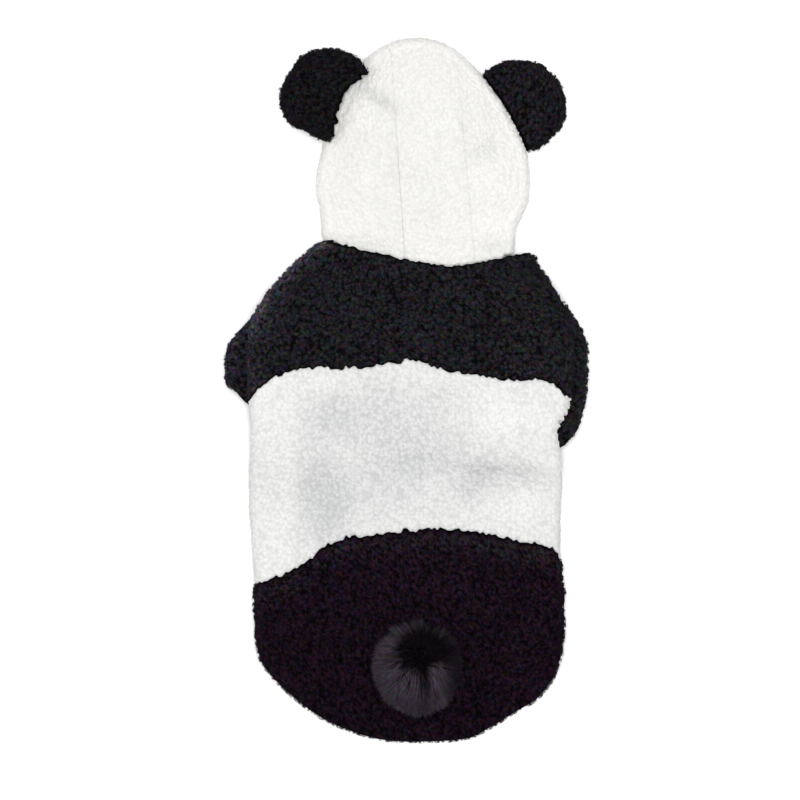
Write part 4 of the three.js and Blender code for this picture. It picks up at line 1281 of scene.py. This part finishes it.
def pompom_hair():
    """Three-sided strands round the core's middle, evenly spread over all directions."""
    core = POMPOM["core"]
    i = np.arange(HAIRS)
    z = 1 - 2 * (i + 0.5) / HAIRS
    flat = np.sqrt(1 - z * z)
    golden = np.pi * (3 - np.sqrt(5))
    away = np.stack([flat * np.cos(i * golden), flat * np.sin(i * golden), z], -1)
    away = unit(away + rng.normal(scale=0.05, size=away.shape))
    crown, tuft, part = np.array(CROWN), np.array(TUFT), np.array(PART)
    near_crown = ease((away @ crown - 0.8) / 0.13)
    near_tuft = ease((away @ tuft - 0.93) / 0.05) * ease((0.3 - away[:, 1]) / 0.2)
    near_part = ease((away @ part - 0.86) / 0.1)
    waves = ((0.24, 5.5, 51), (0.14, 20.0, 52), (0.16, 2.2, 54))
    bend = sum(amount * value_noise(away * FUR_BALL, scale, seed) for amount, scale, seed in waves)
    bend -= 0.5 * crown * ease((away @ crown + 0.1) / 0.8)[:, None] + 0.3 * part * near_part[:, None]
    bend += np.array([0, -0.35, 0]) * near_tuft[:, None]
    bend -= np.sum(bend * away, -1, keepdims=True) * away
    shift = POMPOM["centre_up"] - core
    reach = np.minimum(room(away, shift), room(unit(away + bend), shift)) * rng.uniform(0.9, 1.02, HAIRS)
    reach *= 1 - 0.3 * near_crown * (1 - near_tuft) - 0.15 * near_part
    start = core * 0.9
    keep = reach > start + 1.5
    away, reach, bend = away[keep], reach[keep], bend[keep]
    count = len(away)
    side = unit(np.cross(away, rng.normal(size=away.shape)))
    other = np.cross(away, side)
    thick = rng.uniform(0.2, 0.36, count)[:, None]
    own = rng.uniform(0.6, 1.4, count) * (1 + 0.7 * value_noise(away * FUR_BALL, 3.0, 53)[:, 0])
    rings, tones = [], []
    for share, fat in ((0.0, 1.0), (0.6, 1.2), (1.0, 0.0)):
        centre = unit(away + bend * share**1.4) * lerp(start, reach, share)[:, None]
        centre[:, 2] = np.maximum(centre[:, 2], -core + 0.3)
        beside = centre / POMPOM["radius"]
        # Painted shade darkens each hair towards its root, over the painted light of where it lies, times
        # each hair's own tone
        tone = np.clip((0.15 + 0.7 * share) * hair_painted_light(beside[:, 0], beside[:, 1]) * own, 0, 1)
        rings.append(triangles(centre, thick * fat, side, other) if fat else centre[:, None])
        tones += [tone] * rings[-1].shape[1]
    faces = [(0, 2, 1)]
    for k, n in ((0, 1), (1, 2), (2, 0)):
        faces += [(k, n, n + 3), (k, n + 3, k + 3), (3 + k, 3 + n, 6)]
    points = np.concatenate(rings, 1)
    points[..., 1] *= POMPOM["stretch"]
    return points.reshape(-1, 3), repeated(faces, count, 7), np.stack(tones, 1).ravel()


def ball(radius, around=64, down=32):
    """A sphere with one point at each pole."""
    u, v = np.meshgrid(np.linspace(0, 2 * np.pi, around + 1), np.linspace(0, np.pi, down + 1))
    points = np.stack([np.sin(v) * np.cos(u), np.sin(v) * np.sin(u), np.cos(v)], -1)[:, :-1] * radius
    index = numbered(points)
    index[0], index[-1] = index[0, 0], index[-1, 0]
    faces = quads(closed(index))
    a, b, c = faces.T
    used, faces = np.unique(faces[(a != b) & (b != c) & (a != c)], return_inverse=True)
    return points.reshape(-1, 3)[used], faces.reshape(-1, 3)


cloth = float(under_back(np.array([POMPOM["x"]]), np.array([POMPOM["y"]]))[0]) + FLEECE + SEAM_GAP
origin = np.array([POMPOM["x"], POMPOM["y"] + POMPOM["ahead"], cloth + POMPOM["core"]])
points, faces, tone = pompom_hair()
hair = make("tail_pompom_fur", points + origin, faces, FUR, shade=tone)
points, faces = ball(POMPOM["core"])
# The core takes the darkest tone, painted shade deep inside the hair
heart = make("tail_pompom_core", points + origin, faces, FUR, shade=np.zeros(len(points)))
belong((hair, heart))
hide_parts("tail_pompom")


# Floor, light and camera

def floor():
    mesh = bpy.data.meshes.new("floor")
    r = 6.0
    mesh.from_pydata([(-r, -r, 0), (r, -r, 0), (r, r, 0), (-r, r, 0)], [], [(0, 1, 2, 3)])
    paper = {"Base Color": (0.97, 0.97, 0.97, 1), "Roughness": 0.9, "Specular IOR Level": 0.2}
    mesh.materials.append(shaded("floor", paper)[0])
    piece = bpy.data.objects.new("floor", mesh)
    bpy.context.scene.collection.objects.link(piece)


def light(name, place, size, power):
    """A round soft lamp that points at the origin."""
    lamp = bpy.data.lights.new(name, "AREA")
    lamp.shape = "DISK"
    lamp.size = size
    lamp.energy = power
    thing = bpy.data.objects.new(name, lamp)
    thing.location = place
    thing.rotation_mode = "QUATERNION"
    thing.rotation_quaternion = (-Vector(place)).to_track_quat("-Z", "Y")
    bpy.context.scene.collection.objects.link(thing)


floor()
light("overhead", (0.0, 0.1, 2.4), 1.1, 40)
light("side", (-1.6, 0.5, 1.6), 1.3, 9)
light("other_side", (1.6, -0.2, 1.6), 1.3, 7)
world = bpy.data.worlds.new("studio")
bpy.context.scene.world = world
world.use_nodes = True
sky = world.node_tree.nodes["Background"]
sky.inputs["Color"].default_value = (1, 1, 1, 1)
sky.inputs["Strength"].default_value = 0.48

# The camera looks straight down and sees half a metre at the cloth's height
CAMERA_AT = (-0.004375, -0.00625)
CAMERA_HEIGHT = 2.6
WIDTH_SEEN, SEEN_AT = 0.5, 0.012
camera = bpy.data.cameras.new("camera")
camera.lens = camera.sensor_width * (CAMERA_HEIGHT - SEEN_AT) / WIDTH_SEEN
camera.clip_end = 50
eye = bpy.data.objects.new("camera", camera)
eye.location = (*CAMERA_AT, CAMERA_HEIGHT)
bpy.context.scene.collection.objects.link(eye)
bpy.context.scene.camera = eye
bpy.context.scene.view_settings.view_transform = "Standard"
